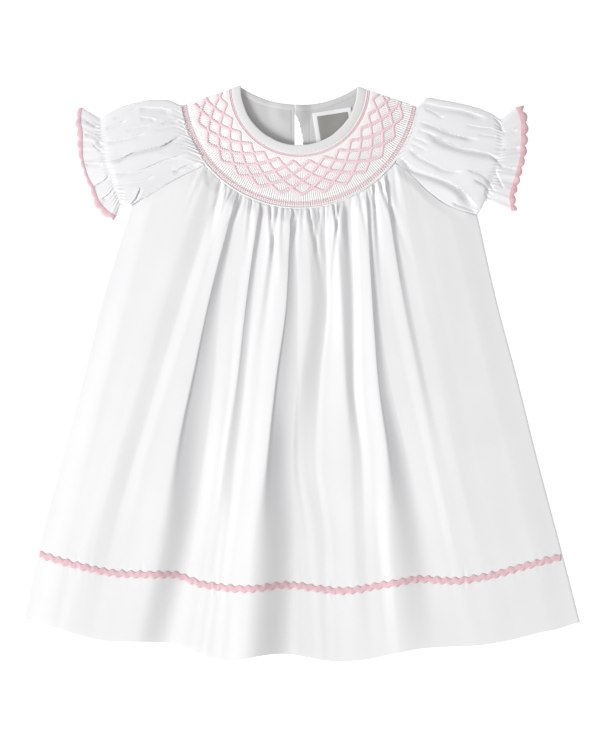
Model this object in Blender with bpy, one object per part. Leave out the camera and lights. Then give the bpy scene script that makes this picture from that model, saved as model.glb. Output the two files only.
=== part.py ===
"""A toddler's smocked bishop dress, laid flat on its back.

X runs across the dress, Y from the hem (-) to the neck (+), and Z up from the surface it lies on.
The back pieces are flat walls on that surface. The front pieces are walls above them, each worked
out as a height over the plan: the folds fan out from the yoke, and every wall keeps its thickness.
Sizes are in millimetres, and add_piece() turns them into metres.
"""
import math
from collections import namedtuple

import bmesh
import bpy
import numpy as np
from mathutils import Vector
from mathutils.bvhtree import BVHTree

MM = 0.001

# Walls and seams
WALL = 1.2  # a cloth wall, measured square to the cloth
SEAM_GAP = 0.3  # between two pieces that a seam or a stitch joins
UNDERSIDE = WALL + SEAM_GAP  # the lowest that a front piece reaches, just above the back
MAX_STEEP = 2.5  # the most that a steep fold thickens its wall upright

# Round yoke: a ring about this centre, cut off by the two shoulder folds
YOKE_CENTRE = np.array((-1.7, 243.5))
NECK_RADIUS = 49.5
BINDING_WIDTH = 7.5
REEDS_RADIUS = NECK_RADIUS + BINDING_WIDTH + SEAM_GAP
YOKE_RADIUS = 104.0
PANEL_RADIUS = YOKE_RADIUS + SEAM_GAP
SHOULDER_FOLD = {  # from the neck to the sleeve, measured from the yoke's centre
    "left": ((-52.7, 0.9), (-102.9, -16.2)),
    "right": ((50.2, 0.9), (102.9, -17.0)),
}

# Smocking
REEDS = 122
REED_HEIGHT = 0.35
REEDS_PER_DIAMOND = 9
TRELLIS_LINES = 5
TRELLIS_START = 62.9
TRELLIS_STEP = 5.74
THREAD_CLEARANCE = 0.6  # half the gap where two trellis lines meet
THREAD_HEIGHT = 0.9
BAND_RADIUS = 98.6
CORD_RADIUS = 102.3
PLAIN_COLUMN_REEDS = 2  # reeds to each column of the yoke's plain inside
NECK_RISE = 3.8  # how far the front neck edge stands off the back
SEAM_RISE = 2.0  # and the yoke's outer edge
RISE_POWER = 0.4  # below 1, it rises soon after the shoulder fold
FULLNESS = 0.4  # how far the pleated cloth stands over a plain wall
PLAIN_REEDS = 1.0  # share of the reed's height on a row between the embroidered lines
STITCHED_REEDS = 0.4  # and on an embroidered line, which flattens them
BINDING_SECTION = ((0.0, 0.0), (7.5, 0.0), (7.5, 1.5), (4.6, 2.5), (1.4, 2.2), (0.0, 1.3))
BINDING_COLUMNS = 40

# Back neck and keyhole
BACK_NECK_CENTRE = np.array((-1.7, 316.2))
BACK_NECK_RADIUS = 87.5
BACK_BINDING_WIDTH = 5.0
BACK_BINDING_THICK = 2.2
BACK_BINDING_COLUMNS = 12
BACK_YOKE_COLUMNS = 9  # on each side of the keyhole
SLIT_SHARES = (0.0, 0.12, 0.24, 0.38, 0.54, 0.72, 0.75, 1.0)  # rows, from the neck to the seam
SLIT_CELLS = 5  # of the cells between those rows, the ones that the keyhole runs through
KEYHOLE_LEFT_X = -5.5
KEYHOLE = ((234.0, 0.3), (222.5, 0.3), (213.5, 5.6), (198.0, 7.2), (172.0, 4.6), (160.0, 2.0))
BUTTON_PLACE = (-9.5, 222.8)
BUTTON_PROFILE = ((3.6, 0.0), (4.5, 0.4), (4.5, 1.0), (3.9, 1.4), (1.0, 1.3), (1.0, 2.4))
BUTTON_SIDES = 16
BUTTON_LIFT = 2.8  # how far the neck edge rises over it
LIFT_FLAT = 8.0
LIFT_END = 20.0
LOOP_THREAD = 0.35  # half the thread's thickness
LOOP_BEND = 1.65  # round the button's shank
LOOP_HEIGHT = 2.05
LOOP_END_X = -3.5
LOOP_SPREAD = 2.2

# Label inside the back neck
LABEL_CORNER = (9.4, 221.7)
LABEL_SIZE = (33.5, 34.0)
LABEL_TILT = math.radians(9.0)
LABEL_BOTTOM = 2.0
LABEL_THICK = 0.8
LABEL_MARGIN = 3.6

# Raglan seams, from the underarm to the yoke, and the heights of the seams
RAGLAN = {
    "left": ((-144.4, 142.6), (-126.6, 153.2), (-114.0, 160.8), (-99.5, 168.6), (-82.0, 177.0)),
    "right": ((149.6, 134.6), (127.5, 141.6), (107.0, 155.6), (92.0, 170.6), (80.4, 179.8)),
}
RAGLAN_HEIGHT = 3.9
EDGE_HEIGHT = UNDERSIDE + WALL

# Front panel: one row for each fold line, left to right, from the raglan or yoke seam to the hem.
# An edge is the crisp lip of a fold, where the cloth drops to or rises from its valley. x is given
# on the seam, at the four STATIONS and on the hem; z under the gathers, at the second and third
# station and at the hem. steps is the number of columns to the next line.
STATIONS = (62.0, -6.0, -74.0, -142.0)
Fold = namedtuple("Fold", "name steps seam_x x1 x2 x3 x4 hem_x top_z z2 z3 hem_z")
FOLDS = (
    Fold("left_side", 2, -144, -169, -186, -204, -222, -237, 2.7, 2.7, 2.7, 2.7),
    Fold("left_roll", 2, -126, -150, -166, -182, -198, -212, 6.5, 7.0, 7.0, 6.5),
    Fold("fold_a", 2, -94, -108, -127, -149, -167, -180, 4.6, 5.0, 5.4, 5.6),
    Fold("ridge_ab", 2, -76, -92, -109, -125, -140, -153, 8.8, 9.2, 9.2, 8.2),
    Fold("edge_b", 1, -58.5, -78.3, -94.4, -104.1, -116.5, -130, 9.0, 9.6, 9.2, 7.4),
    Fold("fold_b", 2, -55, -75.8, -91.4, -99.5, -110.5, -122, 3.2, 3.4, 3.6, 5.0),
    Fold("ridge_bc", 2, -45, -66, -71, -78, -87, -98, 9.0, 10.0, 10.0, 9.2),
    Fold("edge_c", 1, -34.5, -48, -55, -66, -75, -84, 9.0, 9.8, 9.8, 9.6),
    Fold("fold_c", 2, -31, -44.2, -51, -61.6, -69, -78, 5.0, 5.4, 6.6, 9.5),
    Fold("ridge_cd", 2, -22, -33, -41, -50, -57, -66, 9.4, 10.4, 10.6, 10.2),
    Fold("edge_d", 1, -9.5, -12.1, -19.8, -26.1, -28.9, -33, 9.6, 11.3, 11.5, 10.6),
    Fold("fold_d", 2, -6, -9.6, -16.6, -22, -24, -27, 3.0, 2.8, 2.8, 4.0),
    Fold("bank_d", 1, 0.5, -4, -6, -7, -6, -7, 6.5, 5.4, 5.6, 6.5),
    Fold("ridge_de", 3, 5.5, 5.5, 3.5, 1.5, 1, 5, 8.8, 8.8, 10.2, 10.0),
    Fold("fold_e", 1, 20, 20.5, 17, 12.5, 8, 15, 4.2, 4.8, 8.7, 10.4),
    Fold("edge_e", 1, 23.5, 22.8, 19.5, 15.5, 13, 20, 9.4, 11.0, 10.9, 11.0),
    Fold("ridge_ef", 2, 31, 30.5, 30, 28, 27, 33, 10.0, 12.5, 12.5, 12.5),
    Fold("fold_f", 1, 41, 42, 41.5, 44, 48, 57, 4.2, 5.4, 8.8, 11.4),
    Fold("edge_f", 2, 44.5, 44.5, 44.5, 47.5, 53, 62, 9.2, 10.6, 10.8, 11.2),
    Fold("edge_g", 1, 54.5, 61.2, 66.6, 69.7, 79.9, 99.5, 9.4, 11.2, 11.2, 10.0),
    Fold("fold_g", 2, 58, 63.6, 69.4, 74.2, 86, 106, 3.4, 3.2, 3.2, 5.2),
    Fold("ridge_gh", 1, 64.5, 69.5, 79, 89, 104, 126, 8.4, 9.8, 9.8, 9.0),
    Fold("edge_h", 1, 70.5, 84.5, 98, 109, 122, 139, 8.4, 9.4, 9.2, 8.4),
    Fold("fold_h", 2, 74, 87.5, 101.5, 114, 128, 146, 5.0, 6.4, 7.8, 8.2),
    Fold("ridge_hi", 2, 84, 100, 115, 126, 144, 166, 8.0, 8.6, 8.6, 8.0),
    Fold("fold_i", 2, 98, 118, 132, 142, 160, 183, 6.2, 6.4, 6.6, 7.0),
    Fold("right_roll", 2, 124, 143, 160, 177, 194, 211, 6.5, 7.0, 7.0, 6.6),
    Fold("right_side", 0, 149.6, 166, 184, 201, 219, 237, 2.7, 2.7, 2.7, 2.7),
)
HEM = ((-237, -213), (-218, -214), (-205, -217.2), (-191, -221.4), (-178, -224.8), (-164, -227.2),
       (-130, -228.2), (-116, -229.1), (-103, -231.6), (-89, -236.7), (-76, -241), (-62, -243.1),
       (-48, -241.8), (-35, -239.4), (-21, -238.4), (-8, -239.3), (6, -241.8), (20, -244.4),
       (33, -245.3), (47, -244.4), (60, -242.7), (74, -239.3), (88, -236.7), (101, -234.2),
       (128, -232.5), (149, -231.6), (162, -229.9), (176, -227.4), (190, -224), (203, -220.6),
       (217, -218), (230, -213.8), (237, -212))
FINE_ROWS = (0.0, 0.011, 0.032)  # share of the way to the hem, with the gathers
COARSE_ROWS = (0.068, 0.13, 0.21, 0.30, 0.40, 0.50, 0.60, 0.70, 0.79, 0.87, 0.94, 1.0)
GATHER_HEIGHT = 1.1
GATHER_FADE = 11.0  # how soon the gathers die out below the yoke
SEAM_FADE = 16.0  # how far below the seam the folds reach their height
BACK_INSET = 0.8  # how far the back's side edges lie inside the front's
BACK_HEM_INSET = 2.5

# Sleeves: plan lines from the underarm side to the shoulder side, and the top line of each
CUFF_LINE = {
    "left": ((-153.9, 144.5), (-156.4, 151.7), (-161.9, 168.7), (-165.8, 178.9), (-168.3, 195.1),
             (-170.9, 216.8)),
    "right": ((157.3, 147.5), (160.7, 158.5), (166.2, 174.7), (170.0, 193.4), (170.0, 216.0)),
}
RUFFLE_EDGE = {
    "left": ((-157.8, 133.5), (-163.2, 136.6), (-171.7, 145.8), (-176.8, 158.5), (-181.9, 168.2),
             (-186.0, 185.7), (-186.2, 202.7), (-188.0, 215.5), (-187.2, 226.5)),
    "right": ((179.4, 138.0), (177.6, 150.0), (181.0, 162.8), (184.5, 175.5), (187.0, 188.3),
              (187.4, 212.1), (183.0, 226.8)),
}
SLEEVE_TOP = {
    "left": ((-104.9, 227.0), (-113.9, 232.6), (-126.7, 232.8), (-141.4, 230.4), (-156.1, 225.7),
             (-165.8, 220.6), (-170.9, 216.8)),
    "right": ((101.4, 226.3), (108.0, 234.6), (121.6, 232.5), (135.2, 229.9), (148.8, 226.5),
              (162.4, 221.0), (170.0, 216.0)),
}
FACING = {"left": -1.0, "right": 1.0}  # the way out from the body is on this hand of its lines
ARC_NODES = 12  # columns of a sleeve along the yoke
PUFF_ROWS = (0.0, 0.07, 0.18, 0.32, 0.50, 0.68, 0.84, 0.94, 1.0)  # shares of the way to the cuff
RUFFLE_ROWS = (0.25, 0.6, 1.0)  # and on from there to the ruffle's edge
PUFF = ((0.0, 0.0), (0.2, 8.5), (0.5, 13.5), (0.8, 9.5), (1.0, 6.0))
RUFFLE_PUFF = ((0.0, 6.0), (0.4, 5.4), (1.0, 5.6))
SLEEVE_GATHER = 0.8
SLEEVE_GATHER_FADE = 0.12  # in shares of the sleeve's length
RUFFLE_WAVE = 1.1
RUFFLE_SCALLOP = 1.0
LEAST_STAND = 0.5  # how far a sleeve's edge columns stand over the lowest wall
Crease = namedtuple("Crease", "yoke_share cuff_share depth half_width")
CREASES = {
    "left": (Crease(0.30, 0.16, 1.6, 0.05), Crease(0.44, 0.40, 3.2, 0.06),
             Crease(0.60, 0.55, 2.0, 0.05), Crease(0.74, 0.70, 2.6, 0.06),
             Crease(0.88, 0.83, 1.4, 0.04)),
    "right": (Crease(0.26, 0.12, 2.0, 0.05), Crease(0.42, 0.30, 3.0, 0.06),
              Crease(0.56, 0.50, 2.2, 0.05), Crease(0.70, 0.64, 2.4, 0.05),
              Crease(0.84, 0.78, 1.8, 0.05)),
}

# Wavy braid
BRAID_THICK = 1.0
BRAID_BAND = 3.4
BRAID_SWING = 1.8  # how far its middle swings to each side
BRAID_WAVES = 58
BRAID_LINE = ((-222.5, -154.0), (-190.0, -163.0), (-152.0, -170.0), (-110.0, -171.0),
              (-82.0, -179.5), (-48.0, -182.5), (-14.0, -180.0), (34.0, -185.0), (74.0, -179.0),
              (101.0, -175.0), (128.0, -176.5), (158.0, -172.5), (190.0, -164.0), (221.0, -156.0))
CUFF_BRAID_WIDTH = 3.3
CUFF_BRAID_SWING = 0.7

WHITE = (0.93, 0.93, 0.94)
OFF_WHITE = (0.90, 0.89, 0.89)
GREY = (0.37, 0.36, 0.36)
PINK = (0.81, 0.55, 0.60)


# ---------------------------------------------------------------- curves and small sums
def smooth_step(share):
    """0 to 1 with level ends."""
    share = np.clip(share, 0.0, 1.0)
    return share * share * (3 - 2 * share)


def smooth_through(knots, values, at):
    """A smooth curve through the knots that never swings past them."""
    knots = np.asarray(knots, float)
    values = np.asarray(values, float)
    steps = np.diff(knots)
    secants = np.diff(values) / steps
    before, after = secants[:-1], secants[1:]
    same_way = before * after > 0
    total = np.where(same_way, before + after, 1.0)
    turns = np.where(same_way, 2 * before * after / total, 0.0)
    slopes = np.concatenate([secants[:1], turns, secants[-1:]])
    spot = np.clip(np.searchsorted(knots, at, side="right") - 1, 0, len(steps) - 1)
    share = (at - knots[spot]) / steps[spot]
    rise = values[spot + 1] - values[spot]
    lean = steps[spot] * ((share**3 - 2 * share**2 + share) * slopes[spot]
                          + (share**3 - share**2) * slopes[spot + 1])
    return values[spot] + rise * (3 * share**2 - 2 * share**3) + lean


def along_line(points, share):
    """The point at a share of the length of a smooth line through plan points."""
    points = np.asarray(points, float)
    lengths = np.concatenate([[0.0], np.cumsum(np.linalg.norm(np.diff(points, axis=0), axis=1))])
    at = share * lengths[-1]
    return np.array([smooth_through(lengths, points[:, 0], at),
                     smooth_through(lengths, points[:, 1], at)])


def line_on_circle(start, end, radius):
    """Where a line, measured from a circle's centre, leaves that circle."""
    start, end = np.array(start), np.array(end)
    way = end - start
    square, across, rest = way @ way, 2 * start @ way, start @ start - radius**2
    share = (-across + math.sqrt(across**2 - 4 * square * rest)) / (2 * square)
    return start + share * way


def way_out(points, index):
    """The plan direction square to a line of points, on its right-hand side."""
    before = points[max(index - 1, 0)]
    after = points[min(index + 1, len(points) - 1)]
    along = (after - before) / np.linalg.norm(after - before)
    return np.array([along[1], -along[0]])


# ---------------------------------------------------------------- making closed walls
class Shell:
    """Points in rows, and the faces that join the rows into one closed wall."""

    def __init__(self):
        self.points = []
        self.faces = []

    def add_row(self, points):
        first = len(self.points)
        self.points.extend(tuple(float(value) for value in point) for point in points)
        return list(range(first, len(self.points)))

    def join(self, fine, coarse):
        """Faces between two rows, where the fine one may have several steps to each coarse step."""
        ratio = (len(fine) - 1) // (len(coarse) - 1)
        for step in range(len(coarse) - 1):
            first = step * ratio
            if ratio == 1:
                self.faces.append((fine[first], fine[first + 1], coarse[step + 1], coarse[step]))
                continue
            half = first + ratio // 2
            for spot in range(first, half):
                self.faces.append((fine[spot], fine[spot + 1], coarse[step]))
            self.faces.append((fine[half], coarse[step + 1], coarse[step]))
            for spot in range(half, first + ratio):
                self.faces.append((fine[spot], fine[spot + 1], coarse[step + 1]))

    def join_all(self, rows):
        for above, below in zip(rows[:-1], rows[1:]):
            fine, coarse = (above, below) if len(above) >= len(below) else (below, above)
            self.join(fine, coarse)

    def close_wall(self, outer, inner):
        """Close the four edges between an outer and an inner sheet of rows."""
        self.join_all(outer)
        self.join_all(inner)
        self.join(outer[0], inner[0])
        self.join(outer[-1], inner[-1])
        for side in (0, -1):
            over = [row[side] for row in outer]
            under = [row[side] for row in inner]
            if len(over) == len(under):
                self.join(over, under)
            else:
                self.faces.append(tuple(over + under[::-1]))


def add_material(name, colour, roughness):
    material = bpy.data.materials.new(name)
    material.use_nodes = True
    shader = material.node_tree.nodes["Principled BSDF"]
    shader.inputs["Base Color"].default_value = (*colour, 1.0)
    shader.inputs["Roughness"].default_value = roughness
    shader.inputs["Metallic"].default_value = 0.0
    return material


def add_piece(name, shell, colour, roughness=0.85, sharp_angle=50.0):
    """One closed body with its faces pointing out."""
    body = bmesh.new()
    corners = [body.verts.new(Vector(point) * MM) for point in shell.points]
    for face in shell.faces:
        body.faces.new([corners[index] for index in face])
    bmesh.ops.recalc_face_normals(body, faces=body.faces)
    mesh = bpy.data.meshes.new(name)
    body.to_mesh(mesh)
    body.free()
    mesh.materials.append(add_material(name + "_finish", colour, roughness))
    mesh.shade_smooth()
    mesh.set_sharp_from_angle(angle=math.radians(sharp_angle))
    piece = bpy.data.objects.new(name, mesh)
    bpy.context.scene.collection.objects.link(piece)
    return piece


def steepness(plan, heights):
    """How much each point of a row thickens upright, so that its wall keeps its thickness."""
    runs = np.maximum(np.linalg.norm(np.diff(plan, axis=0), axis=1), 0.1)
    steep = np.sqrt(1 + (np.diff(heights) / runs) ** 2)
    before = np.concatenate([steep[:1], steep])
    after = np.concatenate([steep, steep[-1:]])
    return np.minimum(np.maximum(before, after), MAX_STEEP)


def wall_below(plan, heights, lowest):
    """Heights of a wall's inner face below a row of its outer points."""
    return np.maximum(heights - WALL * steepness(plan, heights), lowest)


def with_height(plan, heights):
    return np.column_stack([plan, heights])


# ---------------------------------------------------------------- yoke
def yoke_angle(side, radius):
    """The angle of a shoulder fold at a radius, from -X round below to +X."""
    point = line_on_circle(*SHOULDER_FOLD[side], radius)
    return 0.5 * math.pi + math.atan2(point[0], -point[1])


def yoke_point(share, radius):
    """A plan point of the ring: share 0 is the left shoulder fold and 1 the right."""
    left, right = yoke_angle("left", radius), yoke_angle("right", radius)
    angle = left + (right - left) * share
    return YOKE_CENTRE + radius * np.array([-math.cos(angle), -math.sin(angle)])


def yoke_underside(share, radius):
    """The front yoke rests on the back at its shoulder folds and stands off it between them."""
    outward = (radius - NECK_RADIUS) / (YOKE_RADIUS - NECK_RADIUS)
    rise = NECK_RISE + (SEAM_RISE - NECK_RISE) * outward
    return UNDERSIDE + rise * math.sin(math.pi * share) ** RISE_POWER


def trellis_swing(column):
    """1 and -1 at the points where two trellis lines meet."""
    phase = (column - REEDS) / (2 * REEDS_PER_DIAMOND)
    return 4 * abs(phase - math.floor(phase) - 0.5) - 1


def trellis_radius(line, column):
    middle = TRELLIS_START + TRELLIS_STEP * (line + 0.5)
    swing = (TRELLIS_STEP / 2 - THREAD_CLEARANCE) * trellis_swing(column)
    return middle + swing if line % 2 == 0 else middle - swing


def yoke_rows():
    """Radius of each row at a column, with its height over a plain wall and its reeds' share."""
    thread = FULLNESS + THREAD_HEIGHT
    rows = [(lambda column: REEDS_RADIUS, FULLNESS, STITCHED_REEDS)]
    for line in range(TRELLIS_LINES):
        if line:
            rows.append((lambda column, line=line: 0.5 * (trellis_radius(line - 1, column)
                                                         + trellis_radius(line, column)),
                         FULLNESS, PLAIN_REEDS))
        rows.append((lambda column, line=line: trellis_radius(line, column), thread, STITCHED_REEDS))
    trellis_end = TRELLIS_START + TRELLIS_STEP * TRELLIS_LINES
    rows.append((lambda column: 0.5 * (trellis_end + BAND_RADIUS), FULLNESS, PLAIN_REEDS))
    rows.append((lambda column: BAND_RADIUS, thread, STITCHED_REEDS))
    rows.append((lambda column: CORD_RADIUS, thread, STITCHED_REEDS))
    rows.append((lambda column: YOKE_RADIUS, 0.5 * FULLNESS, STITCHED_REEDS))
    return rows


def add_front_yoke():
    shell = Shell()
    columns = 2 * REEDS
    outer = []
    for radius_at, height, reed_share in yoke_rows():
        row = []
        for column in range(columns + 1):
            radius = radius_at(column)
            share = column / columns
            reed = REED_HEIGHT * reed_share * (1 if column % 2 else -1)
            point = yoke_point(share, radius)
            row.append((*point, yoke_underside(share, radius) + WALL + height + reed))
        outer.append(shell.add_row(row))
    inner = []
    for radius in (REEDS_RADIUS, YOKE_RADIUS):
        row = []
        for column in range(0, columns + 1, 2 * PLAIN_COLUMN_REEDS):
            share = column / columns
            row.append((*yoke_point(share, radius), yoke_underside(share, radius)))
        inner.append(shell.add_row(row))
    shell.close_wall(outer, inner)
    add_piece("front_yoke", shell, OFF_WHITE, sharp_angle=20.0)


def yoke_edge_height(x):
    """The height of the skirt and sleeves where they meet the front yoke."""
    share = np.clip((x - YOKE_CENTRE[0]) / (2 * YOKE_RADIUS) + 0.5, 0.0, 1.0)
    return UNDERSIDE + WALL + 0.6 + SEAM_RISE * np.sin(math.pi * share) ** RISE_POWER


def add_front_binding():
    shell = Shell()
    rings = []
    for share in np.linspace(0.0, 1.0, BINDING_COLUMNS + 1):
        ring = []
        for across, height in BINDING_SECTION:
            radius = NECK_RADIUS + across
            ring.append((*yoke_point(share, radius), yoke_underside(share, radius) + height))
        rings.append(shell.add_row(ring))
    close_rings(shell, rings)
    add_piece("front_neck_binding", shell, WHITE)


def close_rings(shell, rings):
    """Join closed rings end to end, with a flat cap at each end."""
    for before, after in zip(rings[:-1], rings[1:]):
        shell.join(before + before[:1], after + after[:1])
    shell.faces.append(tuple(rings[0]))
    shell.faces.append(tuple(rings[-1]))


# ---------------------------------------------------------------- back neck
def button_lift(x, y):
    """The back neck edge rises over the button that lies under it."""
    away = math.hypot(x - BUTTON_PLACE[0], y - BUTTON_PLACE[1])
    return BUTTON_LIFT * (1 - float(smooth_step((away - LIFT_FLAT) / (LIFT_END - LIFT_FLAT))))


def back_neck_point(angle, radius):
    """A plan point on the back neck curve, by its angle from straight down."""
    return BACK_NECK_CENTRE + radius * np.array([math.sin(angle), -math.cos(angle)])


def back_neck_end(side, radius):
    """The angle at which the back neck curve meets a shoulder fold."""
    shift = YOKE_CENTRE - BACK_NECK_CENTRE
    start, end = (np.array(point) + shift for point in SHOULDER_FOLD[side])
    inward = 2 * start - end
    point = line_on_circle(inward, end, radius)
    return math.atan2(point[0], -point[1])


def keyhole_width(y):
    ys, widths = zip(*KEYHOLE[::-1])
    return float(smooth_through(ys, widths, np.clip(y, ys[0], ys[-1])))


def keyhole_edge(side, y):
    return KEYHOLE_LEFT_X if side == "left" else KEYHOLE_LEFT_X + keyhole_width(y)


def add_back_binding(side):
    shell = Shell()
    rings = []
    for share in np.linspace(0.0, 1.0, BACK_BINDING_COLUMNS + 1):
        thick = WALL + (BACK_BINDING_THICK - WALL) * float(smooth_step((1 - share) * 2.2))
        section = ((0.0, 0.0), (5.0, 0.0), (5.0, 0.8 * thick), (2.5, thick), (0.0, 0.8 * thick))
        ring = []
        for across, height in section:
            radius = BACK_NECK_RADIUS + across
            edge_y = BACK_NECK_CENTRE[1] - radius
            inner = math.asin((keyhole_edge(side, edge_y) - BACK_NECK_CENTRE[0]) / radius)
            angle = inner + (back_neck_end(side, radius) - inner) * share
            x, y = back_neck_point(angle, radius)
            ring.append((x, y, button_lift(x, y) + height))
        rings.append(shell.add_row(ring))
    close_rings(shell, rings)
    add_piece("back_neck_binding_" + side, shell, OFF_WHITE)


def back_yoke_column(side, share):
    """Plan points from the neck to the seam: share 0 is the keyhole and 1 the shoulder fold."""
    neck_radius = BACK_NECK_RADIUS + BACK_BINDING_WIDTH + SEAM_GAP
    slit_top = BACK_NECK_CENTRE[1] - neck_radius
    inner = math.asin((keyhole_edge(side, slit_top) - BACK_NECK_CENTRE[0]) / neck_radius)
    angle = inner + (back_neck_end(side, neck_radius) - inner) * share
    top = back_neck_point(angle, neck_radius)
    fold = yoke_angle(side, YOKE_RADIUS)
    slit_end = keyhole_edge(side, KEYHOLE[-1][0])
    centre = math.acos((YOKE_CENTRE[0] - slit_end) / YOKE_RADIUS)
    around = centre + (fold - centre) * share
    bottom = YOKE_CENTRE + YOKE_RADIUS * np.array([-math.cos(around), -math.sin(around)])
    points = []
    for down in SLIT_SHARES:
        point = top + (bottom - top) * down
        if share == 0.0:
            point[0] = keyhole_edge(side, point[1])
        points.append(point)
    return points


def add_back_yoke():
    half = BACK_YOKE_COLUMNS
    shell = Shell()
    shares = np.linspace(0, 1, half + 1)
    columns = [back_yoke_column("left", share) for share in shares[::-1]]
    columns += [back_yoke_column("right", share) for share in shares]
    sheets = []
    for height in (WALL, 0.0):
        rows = []
        for row in range(len(SLIT_SHARES)):
            points = [(*column[row], button_lift(*column[row]) + height) for column in columns]
            rows.append(shell.add_row(points))
        sheets.append(rows)
    for rows in sheets:
        for row in range(len(SLIT_SHARES) - 1):
            above, below = rows[row], rows[row + 1]
            if row < SLIT_CELLS:
                shell.join(above[:half + 1], below[:half + 1])
                shell.join(above[half + 1:], below[half + 1:])
            else:
                shell.join(above, below)
    top, bottom = sheets
    shell.join(top[0][:half + 1], bottom[0][:half + 1])
    shell.join(top[0][half + 1:], bottom[0][half + 1:])
    shell.join(top[-1], bottom[-1])
    for spot, last in ((0, len(SLIT_SHARES)), (-1, len(SLIT_SHARES)),
                       (half, SLIT_CELLS + 1), (half + 1, SLIT_CELLS + 1)):
        shell.join([row[spot] for row in top[:last]], [row[spot] for row in bottom[:last]])
    shell.join(top[SLIT_CELLS][half:half + 2], bottom[SLIT_CELLS][half:half + 2])
    add_piece("back_yoke", shell, OFF_WHITE)


def add_plate(name, corners, low, high, colour):
    """A flat piece of cloth or tape from its plan outline."""
    shell = Shell()
    below = shell.add_row([(*corner, low) for corner in corners])
    above = shell.add_row([(*corner, high) for corner in corners])
    close_rings(shell, [below, above])
    return add_piece(name, shell, colour, sharp_angle=30.0)


def label_corner(across, down):
    """A point of the tilted label, measured from its upper left corner."""
    cosine, sine = math.cos(LABEL_TILT), math.sin(LABEL_TILT)
    return (LABEL_CORNER[0] + across * cosine + down * sine,
            LABEL_CORNER[1] + across * sine - down * cosine)


def add_label():
    width, depth = LABEL_SIZE
    outline = [label_corner(*spot) for spot in ((0, 0), (width, 0), (width, depth), (0, depth))]
    top = LABEL_BOTTOM + LABEL_THICK
    add_plate("neck_label", outline, LABEL_BOTTOM, top, WHITE)
    margin = LABEL_MARGIN
    inset = ((margin, margin), (width - margin, margin), (width - margin, depth - margin),
             (margin, depth - margin))
    panel = [label_corner(*spot) for spot in inset]
    add_plate("label_panel", panel, top + SEAM_GAP, top + SEAM_GAP + LABEL_THICK, GREY)


def add_button():
    """A small rimmed button with its thread shank, under the left end of the back neck edge."""
    shell = Shell()
    rings = []
    for radius, height in BUTTON_PROFILE:
        ring = []
        for side in range(BUTTON_SIDES):
            turn = 2 * math.pi * side / BUTTON_SIDES
            ring.append((BUTTON_PLACE[0] + radius * math.cos(turn),
                         BUTTON_PLACE[1] + radius * math.sin(turn), height))
        rings.append(shell.add_row(ring))
    close_rings(shell, rings)
    add_piece("back_button", shell, WHITE, roughness=0.35, sharp_angle=35.0)


def add_button_loop():
    """A thread loop from the right end of the neck edge round the button's shank."""
    route = [(LOOP_END_X, BUTTON_PLACE[1] + LOOP_SPREAD)]
    for turn in np.linspace(0.5 * math.pi, 1.5 * math.pi, 9):
        route.append((BUTTON_PLACE[0] + LOOP_BEND * math.cos(turn),
                      BUTTON_PLACE[1] + LOOP_BEND * math.sin(turn)))
    route.append((LOOP_END_X, BUTTON_PLACE[1] - LOOP_SPREAD))
    route = np.array(route)
    shell = Shell()
    rings = []
    for index, spot in enumerate(route):
        out = way_out(route, index)
        ring = []
        for side in range(6):
            turn = math.pi * (side + 0.5) / 3
            flat = spot + LOOP_THREAD * math.cos(turn) * out
            ring.append((*flat, LOOP_HEIGHT + LOOP_THREAD * math.sin(turn)))
        rings.append(shell.add_row(ring))
    close_rings(shell, rings)
    add_piece("back_button_loop", shell, OFF_WHITE)


# ---------------------------------------------------------------- front panel
def seam_height_y(x):
    """The top edge of the front panel: raglan seam, yoke, raglan seam."""
    if x < arc_end("left")[0]:
        spots = np.array([*RAGLAN["left"][:-1], arc_end("left")])
        return float(smooth_through(spots[:, 0], spots[:, 1], x))
    if x > arc_end("right")[0]:
        spots = np.array([arc_end("right"), *RAGLAN["right"][-2::-1]])
        return float(smooth_through(spots[:, 0], spots[:, 1], x))
    return YOKE_CENTRE[1] - math.sqrt(PANEL_RADIUS**2 - (x - YOKE_CENTRE[0])**2)


def arc_end(side):
    """Where the raglan seam meets the yoke."""
    across = RAGLAN[side][-1][0] - YOKE_CENTRE[0]
    return (RAGLAN[side][-1][0], YOKE_CENTRE[1] - math.sqrt(PANEL_RADIUS**2 - across**2))


def hem_y(x):
    xs, ys = zip(*HEM)
    return float(smooth_through(xs, ys, x))


def fold_track(fold, down):
    """Plan x and height of a fold line at a share of the way from the seam to the hem."""
    seam_y = seam_height_y(fold.seam_x)
    length = seam_y - hem_y(fold.hem_x)
    knots = [0.0, *((seam_y - station) / length for station in STATIONS), 1.0]
    x = smooth_through(knots, (fold.seam_x, fold.x1, fold.x2, fold.x3, fold.x4, fold.hem_x), down)
    z = smooth_through((0.0, knots[2], knots[3], 1.0), (fold.top_z, fold.z2, fold.z3, fold.hem_z), down)
    return float(x), float(z)


def panel_columns():
    """(fold, next fold, share) for each main column, and a midway column between each two."""
    main = []
    for fold, following in zip(FOLDS[:-1], FOLDS[1:]):
        for step in range(fold.steps):
            main.append((fold, following, step / fold.steps))
    main.append((FOLDS[-2], FOLDS[-1], 1.0))
    fine = []
    for this, after in zip(main[:-1], main[1:]):
        fine.append(this)
        end = after[2] if after[0] is this[0] else 1.0
        fine.append((this[0], this[1], 0.5 * (this[2] + end)))
    fine.append(main[-1])
    return main, fine


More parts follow.
